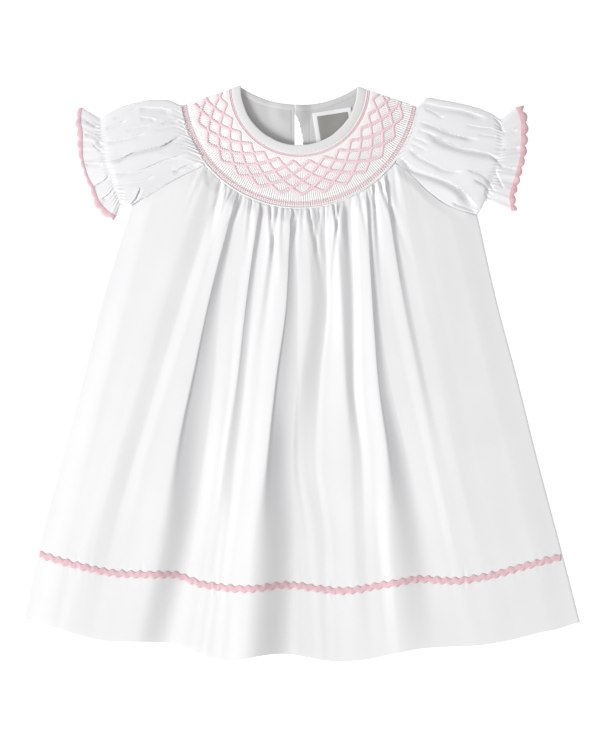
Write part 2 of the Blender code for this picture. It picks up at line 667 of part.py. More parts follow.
def panel_point(column, down, gather):
    fold, following, share = column
    x0, z0 = fold_track(fold, down)
    x1, z1 = fold_track(following, down)
    x = x0 + (x1 - x0) * share
    z = z0 + (z1 - z0) * float(smooth_step(share))
    seam_x = fold.seam_x + (following.seam_x - fold.seam_x) * share
    seam_y = seam_height_y(seam_x)
    hem_x = fold.hem_x + (following.hem_x - fold.hem_x) * share
    away = (seam_y - hem_y(hem_x)) * down
    on_yoke = arc_end("left")[0] < seam_x < arc_end("right")[0]
    seam_z = float(yoke_edge_height(seam_x)) if on_yoke else RAGLAN_HEIGHT
    edge = min(abs(seam_x - FOLDS[0].seam_x), abs(seam_x - FOLDS[-1].seam_x))
    seam_z = EDGE_HEIGHT + (seam_z - EDGE_HEIGHT) * float(smooth_step(edge / 12.0))
    settle = float(smooth_step((away + 3.0) / SEAM_FADE))
    uneven = 0.8 + 0.35 * math.sin(0.37 * seam_x) + 0.2 * math.sin(0.91 * seam_x + 1.0)
    wave = gather * GATHER_HEIGHT * uneven * math.exp(-away / GATHER_FADE) if on_yoke else 0.0
    height = seam_z + (z - seam_z) * settle + wave
    return x, seam_y - away, max(height, EDGE_HEIGHT)


def add_front_panel():
    main, fine = panel_columns()
    shell = Shell()
    outer, inner, plans = [], [], []
    for down in FINE_ROWS + COARSE_ROWS:
        columns = fine if down in FINE_ROWS else main
        signs = [1 - 2 * (index % 2) for index in range(len(columns))]
        row = np.array([panel_point(column, down, sign if down in FINE_ROWS else 0)
                        for column, sign in zip(columns, signs)])
        plan, heights = row[:, :2], row[:, 2]
        plans.append(row)
        outer.append(shell.add_row(row))
        inner.append(shell.add_row(with_height(plan, wall_below(plan, heights, UNDERSIDE))))
    shell.close_wall(outer, inner)
    return add_piece("front_panel", shell, WHITE), plans


def add_back_panel(plans):
    """The back lies flat, cut like the front, a little inside its sides and hem."""
    seam = plans[0][:, :2]
    left = [row[0, :2] + np.array([BACK_INSET, 0.0]) for row in plans[3:-1]]
    right = [row[-1, :2] - np.array([BACK_INSET, 0.0]) for row in plans[3:-1]]
    hem = plans[-1][:, :2] + np.array([0.0, BACK_HEM_INSET])
    hem[0, 0] += BACK_INSET
    hem[-1, 0] -= BACK_INSET
    outline = [*seam, *right, *hem[::-1], *left[::-1]]
    add_plate("back_panel", outline, 0.0, WALL, OFF_WHITE)


# ---------------------------------------------------------------- sleeves
def body_end(side, seam):
    """Plan nodes of a sleeve's inner end, from the underarm up the raglan seam and the yoke."""
    mark = arc_end(side)[0]
    if side == "left":
        raglan = [point for point in seam if point[0] < mark]
    else:
        raglan = [point for point in seam if point[0] > mark][::-1]
    raglan = np.array(raglan)
    nodes = []
    for index, point in enumerate(raglan):
        out = way_out(raglan, index) * FACING[side]
        nodes.append(point + out * SEAM_GAP)
    start = math.atan2(YOKE_CENTRE[1] - arc_end(side)[1], YOKE_CENTRE[0] - mark)
    end = yoke_angle(side, PANEL_RADIUS)
    for share in np.linspace(0.0, 1.0, ARC_NODES):
        angle = start + (end - start) * share
        turn = np.array([-math.cos(angle), -math.sin(angle)])
        nodes.append(YOKE_CENTRE + PANEL_RADIUS * turn)
    nodes = np.array(nodes)
    nodes[len(raglan)] += SEAM_GAP * (nodes[len(raglan) + 1] - nodes[len(raglan)]) / np.linalg.norm(
        nodes[len(raglan) + 1] - nodes[len(raglan)])
    return nodes, len(raglan)


def sleeve_plan(side, nodes, shares):
    """Plan rows of a sleeve: a patch between four lines, then the ruled ruffle."""
    cuff = np.array([along_line(CUFF_LINE[side], share) for share in shares])
    edge = np.array([along_line(RUFFLE_EDGE[side], share) for share in shares])
    top_line = np.array(SLEEVE_TOP[side])
    top_line[0] = nodes[-1]
    rows = []
    for down in PUFF_ROWS:
        top = along_line(top_line, down)
        low = nodes[0] + (cuff[0] - nodes[0]) * down
        ruled = nodes + (cuff - nodes) * down
        share = shares[:, None]
        rows.append(ruled + (1 - share) * (low - ruled[0]) + share * (top - ruled[-1]))
    for out in RUFFLE_ROWS:
        rows.append(cuff + (edge - cuff) * out)
    return rows


def crease_depth(side, down, share):
    """Long creases that run from the yoke to the cuff."""
    depth = 0.0
    for crease in CREASES[side]:
        middle = crease.yoke_share + (crease.cuff_share - crease.yoke_share) * down
        away = (share - middle) / crease.half_width
        depth += crease.depth * math.exp(-away * away)
    return depth * math.sin(math.pi * min(max(down, 0.0), 1.0)) ** 0.7


def sleeve_heights(side, plan, down, out, shares, raglan_count):
    """Outer heights of one row. down is 0 at the body and 1 at the cuff; out is 1 at the edge."""
    heights = []
    for index, share in enumerate(shares):
        round_up = math.sin(math.pi * share) ** 0.6 if 0 < share < 1 else 0.0
        sign = 1 if index % 2 else -1
        if out == 0.0:
            puff = float(smooth_through(*zip(*PUFF), down))
            on_yoke = index >= raglan_count
            seam = float(yoke_edge_height(plan[index][0])) if on_yoke else RAGLAN_HEIGHT
            body = EDGE_HEIGHT + LEAST_STAND + (seam - EDGE_HEIGHT) * (1 - down) * min(1.0, 6 * round_up)
            wave = SLEEVE_GATHER * sign * math.exp(-(1 - down) / SLEEVE_GATHER_FADE)
            if on_yoke:
                wave += SLEEVE_GATHER * sign * math.exp(-down / SLEEVE_GATHER_FADE)
            height = body + puff * round_up + wave * round_up
            height -= crease_depth(side, down, share) * round_up
        else:
            puff = float(smooth_through(*zip(*RUFFLE_PUFF), out))
            wave = (SLEEVE_GATHER + (RUFFLE_WAVE - SLEEVE_GATHER) * out) * sign
            height = EDGE_HEIGHT + LEAST_STAND + (puff + wave) * round_up
        heights.append(max(height, EDGE_HEIGHT + LEAST_STAND))
    return np.array(heights)


def inset_ends(plan):
    """The plan of the inner face: its two ends stand one wall inside."""
    inner = plan.copy()
    for end, near in ((0, 1), (-1, -2)):
        way = plan[near] - plan[end]
        inner[end] = plan[end] + way * WALL / np.linalg.norm(way)
    return inner


def add_sleeve(side, seam):
    nodes, raglan_count = body_end(side, seam)
    lengths = np.concatenate([[0.0], np.cumsum(np.linalg.norm(np.diff(nodes, axis=0), axis=1))])
    shares = lengths / lengths[-1]
    plans = sleeve_plan(side, nodes, shares)
    stages = [(down, 0.0) for down in PUFF_ROWS] + [(1.0, out) for out in RUFFLE_ROWS]
    shell = Shell()
    last = len(shares) - 1
    over, under, over_floor, under_floor = [], [], [], []
    end_ring = None
    for plan, (down, out) in zip(plans, stages):
        if out == 1.0:
            swing = np.array([1.0 if index % 2 else -1.0 for index in range(last + 1)])
            swing[[0, last]] = 0.0
            ways = np.array([way_out(plan, index) for index in range(last + 1)])
            plan = plan + FACING[side] * ways * (RUFFLE_SCALLOP * swing)[:, None]
        heights = sleeve_heights(side, plan, down, out, shares, raglan_count)
        inner_plan = inset_ends(plan)
        inner_heights = wall_below(plan, heights, WALL + SEAM_GAP)
        ends = down == 0.0 or out == 1.0
        floor_spots = range(last + 1) if ends else (0, last)
        over.append(shell.add_row(with_height(plan, heights)))
        under.append(shell.add_row(with_height(inner_plan, inner_heights)))
        over_floor.append(shell.add_row([(*plan[spot], 0.0) for spot in floor_spots]))
        under_floor.append(shell.add_row([(*inner_plan[spot], WALL) for spot in floor_spots]))
        end_ring = (plan, heights, inner_plan, inner_heights)
    shell.join_all(over)
    shell.join_all(under)
    for floor in (over_floor, under_floor):
        first_side = [row[0] for row in floor]
        last_side = [row[-1] for row in floor]
        outline = floor[0] + last_side[1:-1] + floor[-1][::-1] + first_side[-2:0:-1]
        shell.faces.append(tuple(outline))
    for spot in (0, -1):
        shell.join([row[spot] for row in over], [row[spot] for row in over_floor])
        shell.join([row[spot] for row in under], [row[spot] for row in under_floor])
    for row in (0, -1):
        outside = over[row] + over_floor[row][::-1]
        inside = under[row] + under_floor[row][::-1]
        shell.join(outside + outside[:1], inside + inside[:1])
    add_piece(side + "_sleeve", shell, WHITE, sharp_angle=35.0)
    return end_ring


def add_cuff_braid(side, end_ring):
    """A wavy braid all round the edge of the ruffle, made from the edge's own points."""
    plan, heights, inner_plan, inner_heights = end_ring
    last = len(plan) - 1
    shell = Shell()
    rings = []
    top = [(index, True) for index in range(last + 1)]
    bottom = [(index, False) for index in range(last, -1, -1)]
    for index, is_top in top + bottom:
        out = FACING[side] * way_out(plan, index)
        swing = CUFF_BRAID_SWING * (1 if index % 2 else -1)
        near = SEAM_GAP
        far = SEAM_GAP + CUFF_BRAID_WIDTH + swing
        face_z = heights[index] if is_top else 0.0
        back_z = max(inner_heights[index], heights[index] - 2.2) if is_top else WALL
        ring = []
        for away, from_plan, z in ((near, plan, face_z), (far, plan, face_z),
                                   (far, inner_plan, back_z), (near, inner_plan, back_z)):
            ring.append((*(from_plan[index] + out * away), z))
        rings.append(shell.add_row(ring))
    for before, after in zip(rings, rings[1:] + rings[:1]):
        shell.join(before + before[:1], after + after[:1])
    add_piece(side + "_cuff_ricrac", shell, PINK)


# ---------------------------------------------------------------- hem braid
def surface_height(tree, x, y):
    hit = tree.ray_cast(Vector((x, y, 100.0)) * MM, Vector((0, 0, -1)))[0]
    return hit.z / MM


def lift_clear(tree, line, clearance):
    """Heights for a line of plan points so that each stretch clears the cloth below."""
    heights = np.array([surface_height(tree, *point) for point in line]) + clearance
    for _ in range(6):
        for spot in range(len(line) - 1):
            for share in (0.2, 0.4, 0.6, 0.8):
                x, y = line[spot] * (1 - share) + line[spot + 1] * share
                chord = heights[spot] * (1 - share) + heights[spot + 1] * share
                short = surface_height(tree, x, y) + clearance - chord
                if short > 0:
                    heights[spot] += short
                    heights[spot + 1] += short
    return heights


def add_hem_braid(panel):
    """The braid on the hem stitching: a zigzag ribbon laid over the folds."""
    tree = BVHTree.FromObject(panel, bpy.context.evaluated_depsgraph_get())
    knots, levels = zip(*BRAID_LINE)
    corners = np.linspace(knots[0], knots[-1], 2 * BRAID_WAVES + 1)
    middle = smooth_through(knots, levels, corners)
    swing = BRAID_SWING * np.array([1 - 2 * (index % 2) for index in range(len(corners))])
    edges = []
    for side in (BRAID_BAND / 2, -BRAID_BAND / 2):
        line = np.column_stack([corners, middle + swing + side])
        edges.append((line, lift_clear(tree, line, SEAM_GAP)))
    shell = Shell()
    rings = []
    (upper, upper_z), (lower, lower_z) = edges
    for index in range(len(corners)):
        high = max(upper_z[index], lower_z[index] - 1.0)
        low = max(lower_z[index], upper_z[index] - 1.0)
        rings.append(shell.add_row([(*upper[index], high), (*lower[index], low),
                                    (*lower[index], low + BRAID_THICK),
                                    (*upper[index], high + BRAID_THICK)]))
    close_rings(shell, rings)
    add_piece("hem_ricrac", shell, PINK)


def clear_scene():
    for item in list(bpy.data.objects):
        bpy.data.objects.remove(item)


def main():
    clear_scene()
    add_front_yoke()
    add_front_binding()
    add_back_yoke()
    for side in ("left", "right"):
        add_back_binding(side)
    add_label()
    add_button()
    add_button_loop()
    panel, plans = add_front_panel()
    add_back_panel(plans)
    for side in ("left", "right"):
        end_ring = add_sleeve(side, plans[0][:, :2])
        add_cuff_braid(side, end_ring)
    add_hem_braid(panel)


main()
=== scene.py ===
# %% [markdown]
# # A toddler's smocked bishop dress, laid flat
# The dress is white cotton: a round smocked yoke, a gathered skirt, two puffed sleeves and pink
# wavy braid. The fixed frame already has every piece as a plain wall. Each cell below makes one
# piece again as thin cloth on the same form, fine enough for creases, pleats and stitches.
# Lengths are in millimetres unless a comment says otherwise, and MM turns them into metres.

# %% The fixed frame
import math
from collections import namedtuple

import bmesh
import bpy
import numpy as np
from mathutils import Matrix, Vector
from mathutils.bvhtree import BVHTree


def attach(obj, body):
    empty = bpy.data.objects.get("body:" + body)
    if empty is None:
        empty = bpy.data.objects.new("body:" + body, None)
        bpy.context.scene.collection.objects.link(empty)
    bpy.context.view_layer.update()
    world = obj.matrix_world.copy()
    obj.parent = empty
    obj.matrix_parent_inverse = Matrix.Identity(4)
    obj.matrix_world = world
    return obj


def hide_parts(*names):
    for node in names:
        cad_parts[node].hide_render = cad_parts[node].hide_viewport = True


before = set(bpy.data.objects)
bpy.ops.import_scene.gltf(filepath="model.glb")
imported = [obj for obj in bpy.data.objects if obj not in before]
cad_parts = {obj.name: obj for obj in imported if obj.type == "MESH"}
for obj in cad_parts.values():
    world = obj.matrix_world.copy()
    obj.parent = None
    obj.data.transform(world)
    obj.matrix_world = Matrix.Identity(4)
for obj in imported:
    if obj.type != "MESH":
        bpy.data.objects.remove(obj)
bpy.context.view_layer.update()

print("frame loaded:", len(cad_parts), "nodes")

# %% [markdown]
# ## Camera, light and floor
# Clothes that are sold by post are laid on white paper and looked at from straight above. A long
# lens high up keeps the dress free of perspective. One wide lamp, low on the left, rakes across
# the folds so that each casts a soft shadow to its right, and white light from all round fills
# the shadows. The colours go out as they are, without a film curve, so white stays white.

# %% Camera
MM = 0.001
FRAME_HEIGHT = 637.5  # what the picture takes in, top to bottom
CAMERA_HEIGHT = 1700.0  # above the cloth
CLOTH_LEVEL = 5.0  # about halfway up the folds
MIDDLE = (-0.85, -1.3)  # where the camera stands over the plan
FILM_SIZE = 36.0  # along the picture's longer side
FARTHEST = 20.0  # metres that the camera sees
scene = bpy.context.scene
camera_data = bpy.data.cameras.new("camera")
camera = bpy.data.objects.new("camera", camera_data)
scene.collection.objects.link(camera)
camera.location = (MIDDLE[0] * MM, MIDDLE[1] * MM, (CAMERA_HEIGHT + CLOTH_LEVEL) * MM)
camera_data.lens = FILM_SIZE * CAMERA_HEIGHT / FRAME_HEIGHT
camera_data.clip_end = FARTHEST
scene.camera = camera
scene.view_settings.view_transform = "Standard"
print("lens", round(camera_data.lens, 1))

# %% Light
ROOM_COLOUR = (1.0, 0.985, 0.99, 1.0)
ROOM_STRENGTH = 0.6
LAMP_PLACE = (-4.66, -1.70, 3.38)  # metres from the middle of the dress
LAMP_POWER = 322.0
LAMP_SIZE = 1.8  # metres
LAMP_COLOUR = (0.985, 1.0, 0.995)


def set_values(node, values):
    """Set a node's inputs by their names."""
    for name, value in values.items():
        node.inputs[name].default_value = value


world = bpy.data.worlds.new("white_room")
world.use_nodes = True
scene.world = world
set_values(world.node_tree.nodes["Background"], {"Color": ROOM_COLOUR, "Strength": ROOM_STRENGTH})

lamp_data = bpy.data.lights.new("left_lamp", "AREA")
lamp_data.energy = LAMP_POWER
lamp_data.size = LAMP_SIZE
lamp_data.color = LAMP_COLOUR
lamp = bpy.data.objects.new("left_lamp", lamp_data)
lamp.location = LAMP_PLACE
lamp.rotation_euler = (-Vector(LAMP_PLACE)).to_track_quat("-Z", "Y").to_euler()
scene.collection.objects.link(lamp)
lamp_rise = math.degrees(math.atan2(LAMP_PLACE[2], math.hypot(*LAMP_PLACE[:2])))
print("lamp", round(lamp_rise), "degrees above the floor")

# %% Floor
FLOOR_HALF = 6.0  # metres
FLOOR_DROP = 0.05  # so that the cloth and the paper don't share a plane
PAPER_WHITE = (0.95, 0.95, 0.95, 1.0)
PAPER_GLOW = 0.6  # stands for the lamps that light the paper alone
floor_mesh = bpy.data.meshes.new("paper")
corners = ((-1, -1), (1, -1), (1, 1), (-1, 1))
floor_mesh.from_pydata([(x * FLOOR_HALF, y * FLOOR_HALF, 0) for x, y in corners], [],
                       [(0, 1, 2, 3)])
floor = bpy.data.objects.new("paper", floor_mesh)
scene.collection.objects.link(floor)
floor.location.z = -FLOOR_DROP * MM
paper = bpy.data.materials.new("white_paper")
paper.use_nodes = True
set_values(paper.node_tree.nodes["Principled BSDF"],
           {"Base Color": PAPER_WHITE, "Roughness": 0.9, "Specular IOR Level": 0.1,
            "Emission Color": (1.0, 1.0, 1.0, 1.0), "Emission Strength": PAPER_GLOW})
floor_mesh.materials.append(paper)
print("floor laid")

# %% [markdown]
# ## Curves
# Everything on the dress follows a few lines: the fold lines, the neck, the seams. A smooth
# curve through known points, which never swings past them, draws all of these.


# %% Curves
def smooth_step(share):
    """0 to 1 with level ends."""
    share = np.clip(share, 0.0, 1.0)
    return share * share * (3 - 2 * share)


def smooth_through(knots, values, at):
    """A smooth curve through the knots that never swings past them."""
    knots, values = np.asarray(knots, float), np.asarray(values, float)
    steps = np.diff(knots)
    secants = np.diff(values) / steps
    before, after = secants[:-1], secants[1:]
    same_way = before * after > 0
    total = np.where(same_way, before + after, 1.0)
    turns = np.where(same_way, 2 * before * after / total, 0.0)
    slopes = np.concatenate([secants[:1], turns, secants[-1:]])
    spot = np.clip(np.searchsorted(knots, at, side="right") - 1, 0, len(steps) - 1)
    share = (at - knots[spot]) / steps[spot]
    rise = values[spot + 1] - values[spot]
    lean = steps[spot] * ((share**3 - 2 * share**2 + share) * slopes[spot]
                          + (share**3 - share**2) * slopes[spot + 1])
    return values[spot] + rise * (3 * share**2 - 2 * share**3) + lean


def line_lengths(points):
    """The length of a jointed plan line up to each of its points."""
    return np.concatenate([[0.0], np.cumsum(np.linalg.norm(np.diff(points, axis=0), axis=1))])


def points_at(line, at):
    """Points of a jointed line at lengths along its plan."""
    lengths = line_lengths(line[:, :2])
    return np.column_stack([np.interp(at, lengths, values) for values in line.T])


def along_line(points, share):
    """Points at shares of the length of a smooth line through plan points."""
    points = np.asarray(points, float)
    lengths = line_lengths(points)
    at = np.asarray(share) * lengths[-1]
    return np.stack([smooth_through(lengths, points[:, 0], at),
                     smooth_through(lengths, points[:, 1], at)], axis=-1)


WANDER_WAVES = (1.0, 1.7, 2.9)
WANDER_SIZE = 1.5


def uneven(at, seed):
    """A smooth wandering number, about -1 to 1, that is the same on each run."""
    rng = np.random.default_rng(seed)
    total = 0.0
    for wave in WANDER_WAVES:
        total = total + np.sin(wave * np.asarray(at) + rng.uniform(0, 2 * math.pi)) / wave
    return total / WANDER_SIZE


print("smooth step a quarter of the way:", round(float(smooth_step(0.25)), 3))

# %% [markdown]
# ## Cloth from points
# A piece of cloth is a grid of points. Solidify gives it the thickness of real cotton, downwards,
# so the points stay the side that is seen. Each piece rides on the dress's one body and hides
# the plain walls that it stands for.


# %% Cloth from points
def sharpen_borders(mesh):
    """Keep the cut edge of a sheet crisp: its rim doesn't shade the cloth beside it."""
    body = bmesh.new()
    body.from_mesh(mesh)
    for edge in body.edges:
        edge.smooth = not edge.is_boundary
    body.to_mesh(mesh)
    body.free()


def new_piece(name, points, faces, material, replaces=(), thick=None):
    """Points and faces as a piece that rides on the dress, with the thickness of its cloth."""
    mesh = bpy.data.meshes.new(name)
    mesh.from_pydata((np.asarray(points, float) * MM).tolist(), [], faces)
    mesh.update()
    mesh.materials.append(material)
    mesh.shade_smooth()
    piece = bpy.data.objects.new(name, mesh)
    scene.collection.objects.link(piece)
    if thick:
        sharpen_borders(mesh)
        solid = piece.modifiers.new("thickness", "SOLIDIFY")
        solid.thickness = thick * MM
        solid.offset = -1.0
    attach(piece, "root")
    if replaces:
        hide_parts(*replaces)
    print(name, len(mesh.vertices), "points")
    return piece


def grid_faces(rows, columns, ring=False):
    """Four-sided faces between the rows of a grid, round and round if it is a ring."""
    spots = np.arange(rows * columns).reshape(rows, columns)
    if ring:
        spots = np.hstack([spots, spots[:, :1]])
    quads = np.stack([spots[:-1, :-1], spots[1:, :-1], spots[1:, 1:], spots[:-1, 1:]], axis=-1)
    return quads.reshape(-1, 4).tolist()


def sheet_piece(name, grid, material, replaces=(), thick=0.45, ring=False, seen=None):
    """A grid of points, rows first, as cloth. The first columns, up to seen, face up."""
    rows, columns = grid.shape[:2]
    faces = grid_faces(rows, columns, ring)
    side = np.cross(grid[1:, :-1] - grid[:-1, :-1], grid[:-1, 1:] - grid[:-1, :-1])
    if side[:, :seen, 2].sum() < 0:
        faces = [face[::-1] for face in faces]
    return new_piece(name, grid.reshape(-1, 3), faces, material, replaces, thick)


def fix_facing(piece):
    """Turn a closed piece's faces out."""
    body = bmesh.new()
    body.from_mesh(piece.data)
    bmesh.ops.recalc_face_normals(body, faces=body.faces)
    body.to_mesh(piece.data)
    body.free()


def rod_piece(name, rings, material, replaces=(), closed=False):
    """Closed rings of points, end to end, as one solid strip or roll."""
    count, around = rings.shape[:2]
    faces = grid_faces(count, around, ring=True)
    if closed:
        last = (count - 1) * around
        faces += [[last + side, side, (side + 1) % around, last + (side + 1) % around]
                  for side in range(around)]
    else:
        faces += [list(range(around)), list(range((count - 1) * around, count * around))[::-1]]
    fix_facing(new_piece(name, rings.reshape(-1, 3), faces, material, replaces))


print("a grid of 3 by 3 points has", len(grid_faces(3, 3)), "faces")

# %% [markdown]
# ## Finishes
# Cotton lawn has a weave too fine to see, but it breaks up the light. Two crossed sets of bands
# at thread size give it as a bump, and a slow noise makes the white a little uneven, as washed
# cloth is. A little sheen stands for the loose fibres.

# %% Finishes
WHITE = (0.788, 0.784, 0.794)
WEAVE_DEPTH = 0.12
WAVE_TURN = 20  # radians that a wave texture of scale 1 turns through in each metre


def cloth_finish(name, colour, thread=0.42, relief=0.25, rough=0.8, sheen=0.25, variation=0.03,
                 patch=45.0, turn=0.0):
    """Woven cloth: thread and patch are how far apart its threads and its shades are."""
    material = bpy.data.materials.new(name)
    material.use_nodes = True
    nodes, links = material.node_tree.nodes, material.node_tree.links
    shader = nodes["Principled BSDF"]
    set_values(shader, {"Roughness": rough, "Specular IOR Level": 0.35, "Sheen Weight": sheen,
                        "Sheen Roughness": 0.4})
    place = nodes.new("ShaderNodeTexCoord")
    turned = nodes.new("ShaderNodeMapping")
    set_values(turned, {"Rotation": (0.0, 0.0, turn)})
    links.new(place.outputs["Object"], turned.inputs["Vector"])
    weave = nodes.new("ShaderNodeMath")
    weave.operation = "MULTIPLY"
    for spot, direction in enumerate(("X", "Y")):
        wave = nodes.new("ShaderNodeTexWave")
        wave.wave_type = "BANDS"
        wave.bands_direction = direction
        set_values(wave, {"Scale": 2 * math.pi / (WAVE_TURN * thread * MM), "Distortion": 0.6,
                          "Detail": 1.0})
        links.new(turned.outputs["Vector"], wave.inputs["Vector"])
        links.new(wave.outputs["Fac"], weave.inputs[spot])
    bump = nodes.new("ShaderNodeBump")
    set_values(bump, {"Strength": relief, "Distance": WEAVE_DEPTH * MM})
    links.new(weave.outputs["Value"], bump.inputs["Height"])
    links.new(bump.outputs["Normal"], shader.inputs["Normal"])
    noise = nodes.new("ShaderNodeTexNoise")
    set_values(noise, {"Scale": 1 / (patch * MM), "Detail": 3.0})
    links.new(place.outputs["Object"], noise.inputs["Vector"])
    tint = nodes.new("ShaderNodeMix")
    tint.data_type = "RGBA"
    links.new(noise.outputs["Fac"], tint.inputs["Factor"])
    darker = (*[value * (1 - variation) for value in colour], 1.0)
    lighter = (*[min(value * (1 + variation), 1) for value in colour], 1.0)
    set_values(tint, {"A": darker, "B": lighter})
    links.new(tint.outputs["Result"], shader.inputs["Base Color"])
    return material


BIAS = 0.785  # radians: a bias strip is cut slantwise
cotton = cloth_finish("white_cotton", WHITE)
# Painted light: the sleeves are the same white cotton, painted a little lighter than the skirt to
# lift their shade.
sleeve_cotton_painted_light = cloth_finish("white_cotton_gathered", (0.80, 0.796, 0.808))
# Painted shade: a grey copy of the white cotton, for the inside of the back yoke, which lies in
# shade under the front.
inside_cotton_painted_shade = cloth_finish("white_cotton_inside", (0.56, 0.555, 0.56), sheen=0.1)
# Painted light: the smocked yoke is the same white cotton, painted much lighter to lift the shade
# of its reeds.
smocked_cotton = cloth_finish("smocked_cotton", (0.92, 0.915, 0.91), relief=0.2, patch=12.0)
# Painted shade: the front neck binding is the same white cotton, painted a little greyer than the
# rest.
binding_cotton = cloth_finish("binding_cotton", (0.74, 0.735, 0.735), thread=0.38, turn=BIAS)
# Painted shade: the back neck binding is the same white cotton, greyed like the inside of the back
# yoke.
inside_binding_painted_shade = cloth_finish("binding_cotton_inside", (0.60, 0.595, 0.60), thread=0.38,
                              turn=BIAS)
pink_braid = cloth_finish("pink_braid", (0.75, 0.495, 0.54), thread=0.8, relief=0.5, sheen=0.3,
                          variation=0.06, patch=6.0, turn=0.6)
pink_thread = cloth_finish("pink_thread", (0.86, 0.645, 0.685), thread=0.35, relief=0.4,
                           sheen=0.3, variation=0.08, patch=4.0, turn=0.5)
white_thread = cloth_finish("white_thread", (0.86, 0.86, 0.86), thread=0.3, relief=0.4, turn=0.5)
label_tape = cloth_finish("label_tape", (0.80, 0.80, 0.82), thread=0.5, relief=0.3)
label_satin = cloth_finish("label_satin", (0.285, 0.275, 0.265), thread=0.25, relief=0.15,
                           rough=0.45, sheen=0.4, variation=0.10, patch=14.0)
button_resin = cloth_finish("button_resin", (0.88, 0.88, 0.87), thread=2.0, relief=0.02,
                            rough=0.25, sheen=0.0, variation=0.04, patch=5.0)
print("finishes ready")

# %% [markdown]
# ## The round yoke
# The yoke is half a ring, cut off at each end by the fold over the shoulder. Its cloth is drawn
# into fine upright pleats, called reeds, that run straight out from the neck. The cells hold the
# ring's shape as functions first, because the bindings, seams and stitches sit on it too.

# %% The ring's shape
WALL = 1.2  # thickness of the frame's plain cloth
SEAM_GAP = 0.3  # between the frame's pieces
UNDERSIDE = WALL + SEAM_GAP  # the lowest that a front piece reaches
YOKE_CENTRE = np.array((-1.7, 243.5))
NECK_RADIUS = 49.5
REEDS_RADIUS = 57.0  # where the reeds come out from under the neck binding
YOKE_RADIUS = 104.0
PANEL_RADIUS = 104.3
NECK_RISE = 3.8  # how far the yoke stands off the back, at the neck and at the seam
SEAM_RISE = 2.0
RISE_POWER = 0.4
# Two points on each shoulder fold, measured from the ring's centre.
SHOULDER_FOLD = {"left": ((-52.7, 0.9), (-102.9, -16.2)), "right": ((50.2, 0.9), (102.9, -17.0))}


def line_on_circle(start, end, radius):
    """Where a line, measured from a circle's centre, leaves that circle."""
    start, end = np.array(start), np.array(end)
    way = end - start
    square, across, rest = way @ way, 2 * start @ way, start @ start - np.asarray(radius)**2
    share = (-across + np.sqrt(across**2 - 4 * square * rest)) / (2 * square)
    return start + np.multiply.outer(share, way)


def yoke_angle(side, radius):
    """The angle of a shoulder fold at a radius, from -X round below to +X."""
    point = line_on_circle(*SHOULDER_FOLD[side], radius)
    return 0.5 * math.pi + np.arctan2(point[..., 0], -point[..., 1])


def on_ring(angle, radius):
    """Plan points of the ring, from -X round below to +X."""
    return np.stack([YOKE_CENTRE[0] - radius * np.cos(angle),
                     YOKE_CENTRE[1] - radius * np.sin(angle)], axis=-1)


def yoke_share(angle, radius):
    """0 at the left shoulder fold and 1 at the right."""
    left, right = yoke_angle("left", radius), yoke_angle("right", radius)
    return np.clip((angle - left) / (right - left), 0.0, 1.0)


def yoke_underside(share, radius):
    """The front yoke stands off the back between its shoulder folds."""
    outward = (radius - NECK_RADIUS) / (YOKE_RADIUS - NECK_RADIUS)
    rise = NECK_RISE + (SEAM_RISE - NECK_RISE) * outward
    return UNDERSIDE + rise * np.sin(math.pi * share) ** RISE_POWER


yoke_turn = yoke_angle("right", YOKE_RADIUS) - yoke_angle("left", YOKE_RADIUS)
print("the yoke turns through", round(math.degrees(yoke_turn)), "degrees at its seam")

# %% [markdown]
# ## The smocking pattern
# Rows of zigzag thread cross the reeds and meet at their points, which makes a net of diamonds.
# The pattern repeats about every eleven reeds. The same zigzag lines place the threads and pinch
# the reeds under them.

# %% The smocking pattern
REED_ANGLE = math.radians(1.1)
DIAMOND_ANGLE = math.radians(12.05)
DIAMOND_START = math.radians(13.4)
ZIGZAG_RADII = (62.9, 68.6, 74.4, 80.1, 85.9, 91.6)
ZIGZAG_LINES = range(len(ZIGZAG_RADII) - 1)
ZIGZAG_ROUNDNESS = 0.55  # 0 for straight lines and 1 for waves
THREAD_GAP = 0.55  # half the gap between two lines where they meet
BAND_RADII = (97.6, 98.95, 100.3)
NECK_LINE_RADII = (58.2, 59.5)
CORD_RADIUS = 102.4
PINCH_WIDTH = 1.1


def zigzag_radius(line, angle):
    """Radius of a thread line: odd and even lines zig and zag against each other."""
    phase = (angle - DIAMOND_START) / DIAMOND_ANGLE
    corner = 2 * np.abs(phase - np.floor(phase) - 0.5)
    corner = corner + ZIGZAG_ROUNDNESS * (smooth_step(corner) - corner)
    near, far = ZIGZAG_RADII[line] + THREAD_GAP, ZIGZAG_RADII[line + 1] - THREAD_GAP
    if line % 2 == 0:
        corner = 1 - corner
    return near + (far - near) * corner


def thread_pinch(angle, radius):
    """1 under a thread and 0 away from all of them."""
    pinch = np.zeros(np.broadcast(angle, radius).shape)
    lines = [zigzag_radius(line, angle) for line in ZIGZAG_LINES]
    for middle in (*lines, *BAND_RADII, *NECK_LINE_RADII, CORD_RADIUS):
        pinch = np.maximum(pinch, np.exp(-((radius - middle) / PINCH_WIDTH) ** 2))
    return pinch


print(len(ZIGZAG_LINES), "zigzag lines of about", round(yoke_turn / DIAMOND_ANGLE), "zigzags each")

# %% The reeds
REED_COLUMNS = 1134
REED_ROWS = 33
REED_WANDER = 0.10  # how far a gap between reeds strays, and how wide it is, in reeds
GAP_WIDTH = 0.15
HELD_DEPTH = 0.35  # of the gaps near the neck, where much thread holds the reeds
FREED_DEPTH = 0.85  # what the gaps gain further out
FREED_FROM, FREED_OVER = 68.0, 16.0
OPEN_FROM, OPEN_OVER = 57.5, 2.5  # beside the neck binding, where the gaps begin
STITCH_HOLD = 0.7  # the share of a gap that a thread closes
PUFF_HEIGHT = 0.55  # of the cloth between the threads
SEAT = 0.2  # of the pleated cloth above the plain wall
TUCK_FROM, TUCK_OVER, TUCK_DEPTH = 102.9, 1.1, 0.5  # the rim goes down into the seam


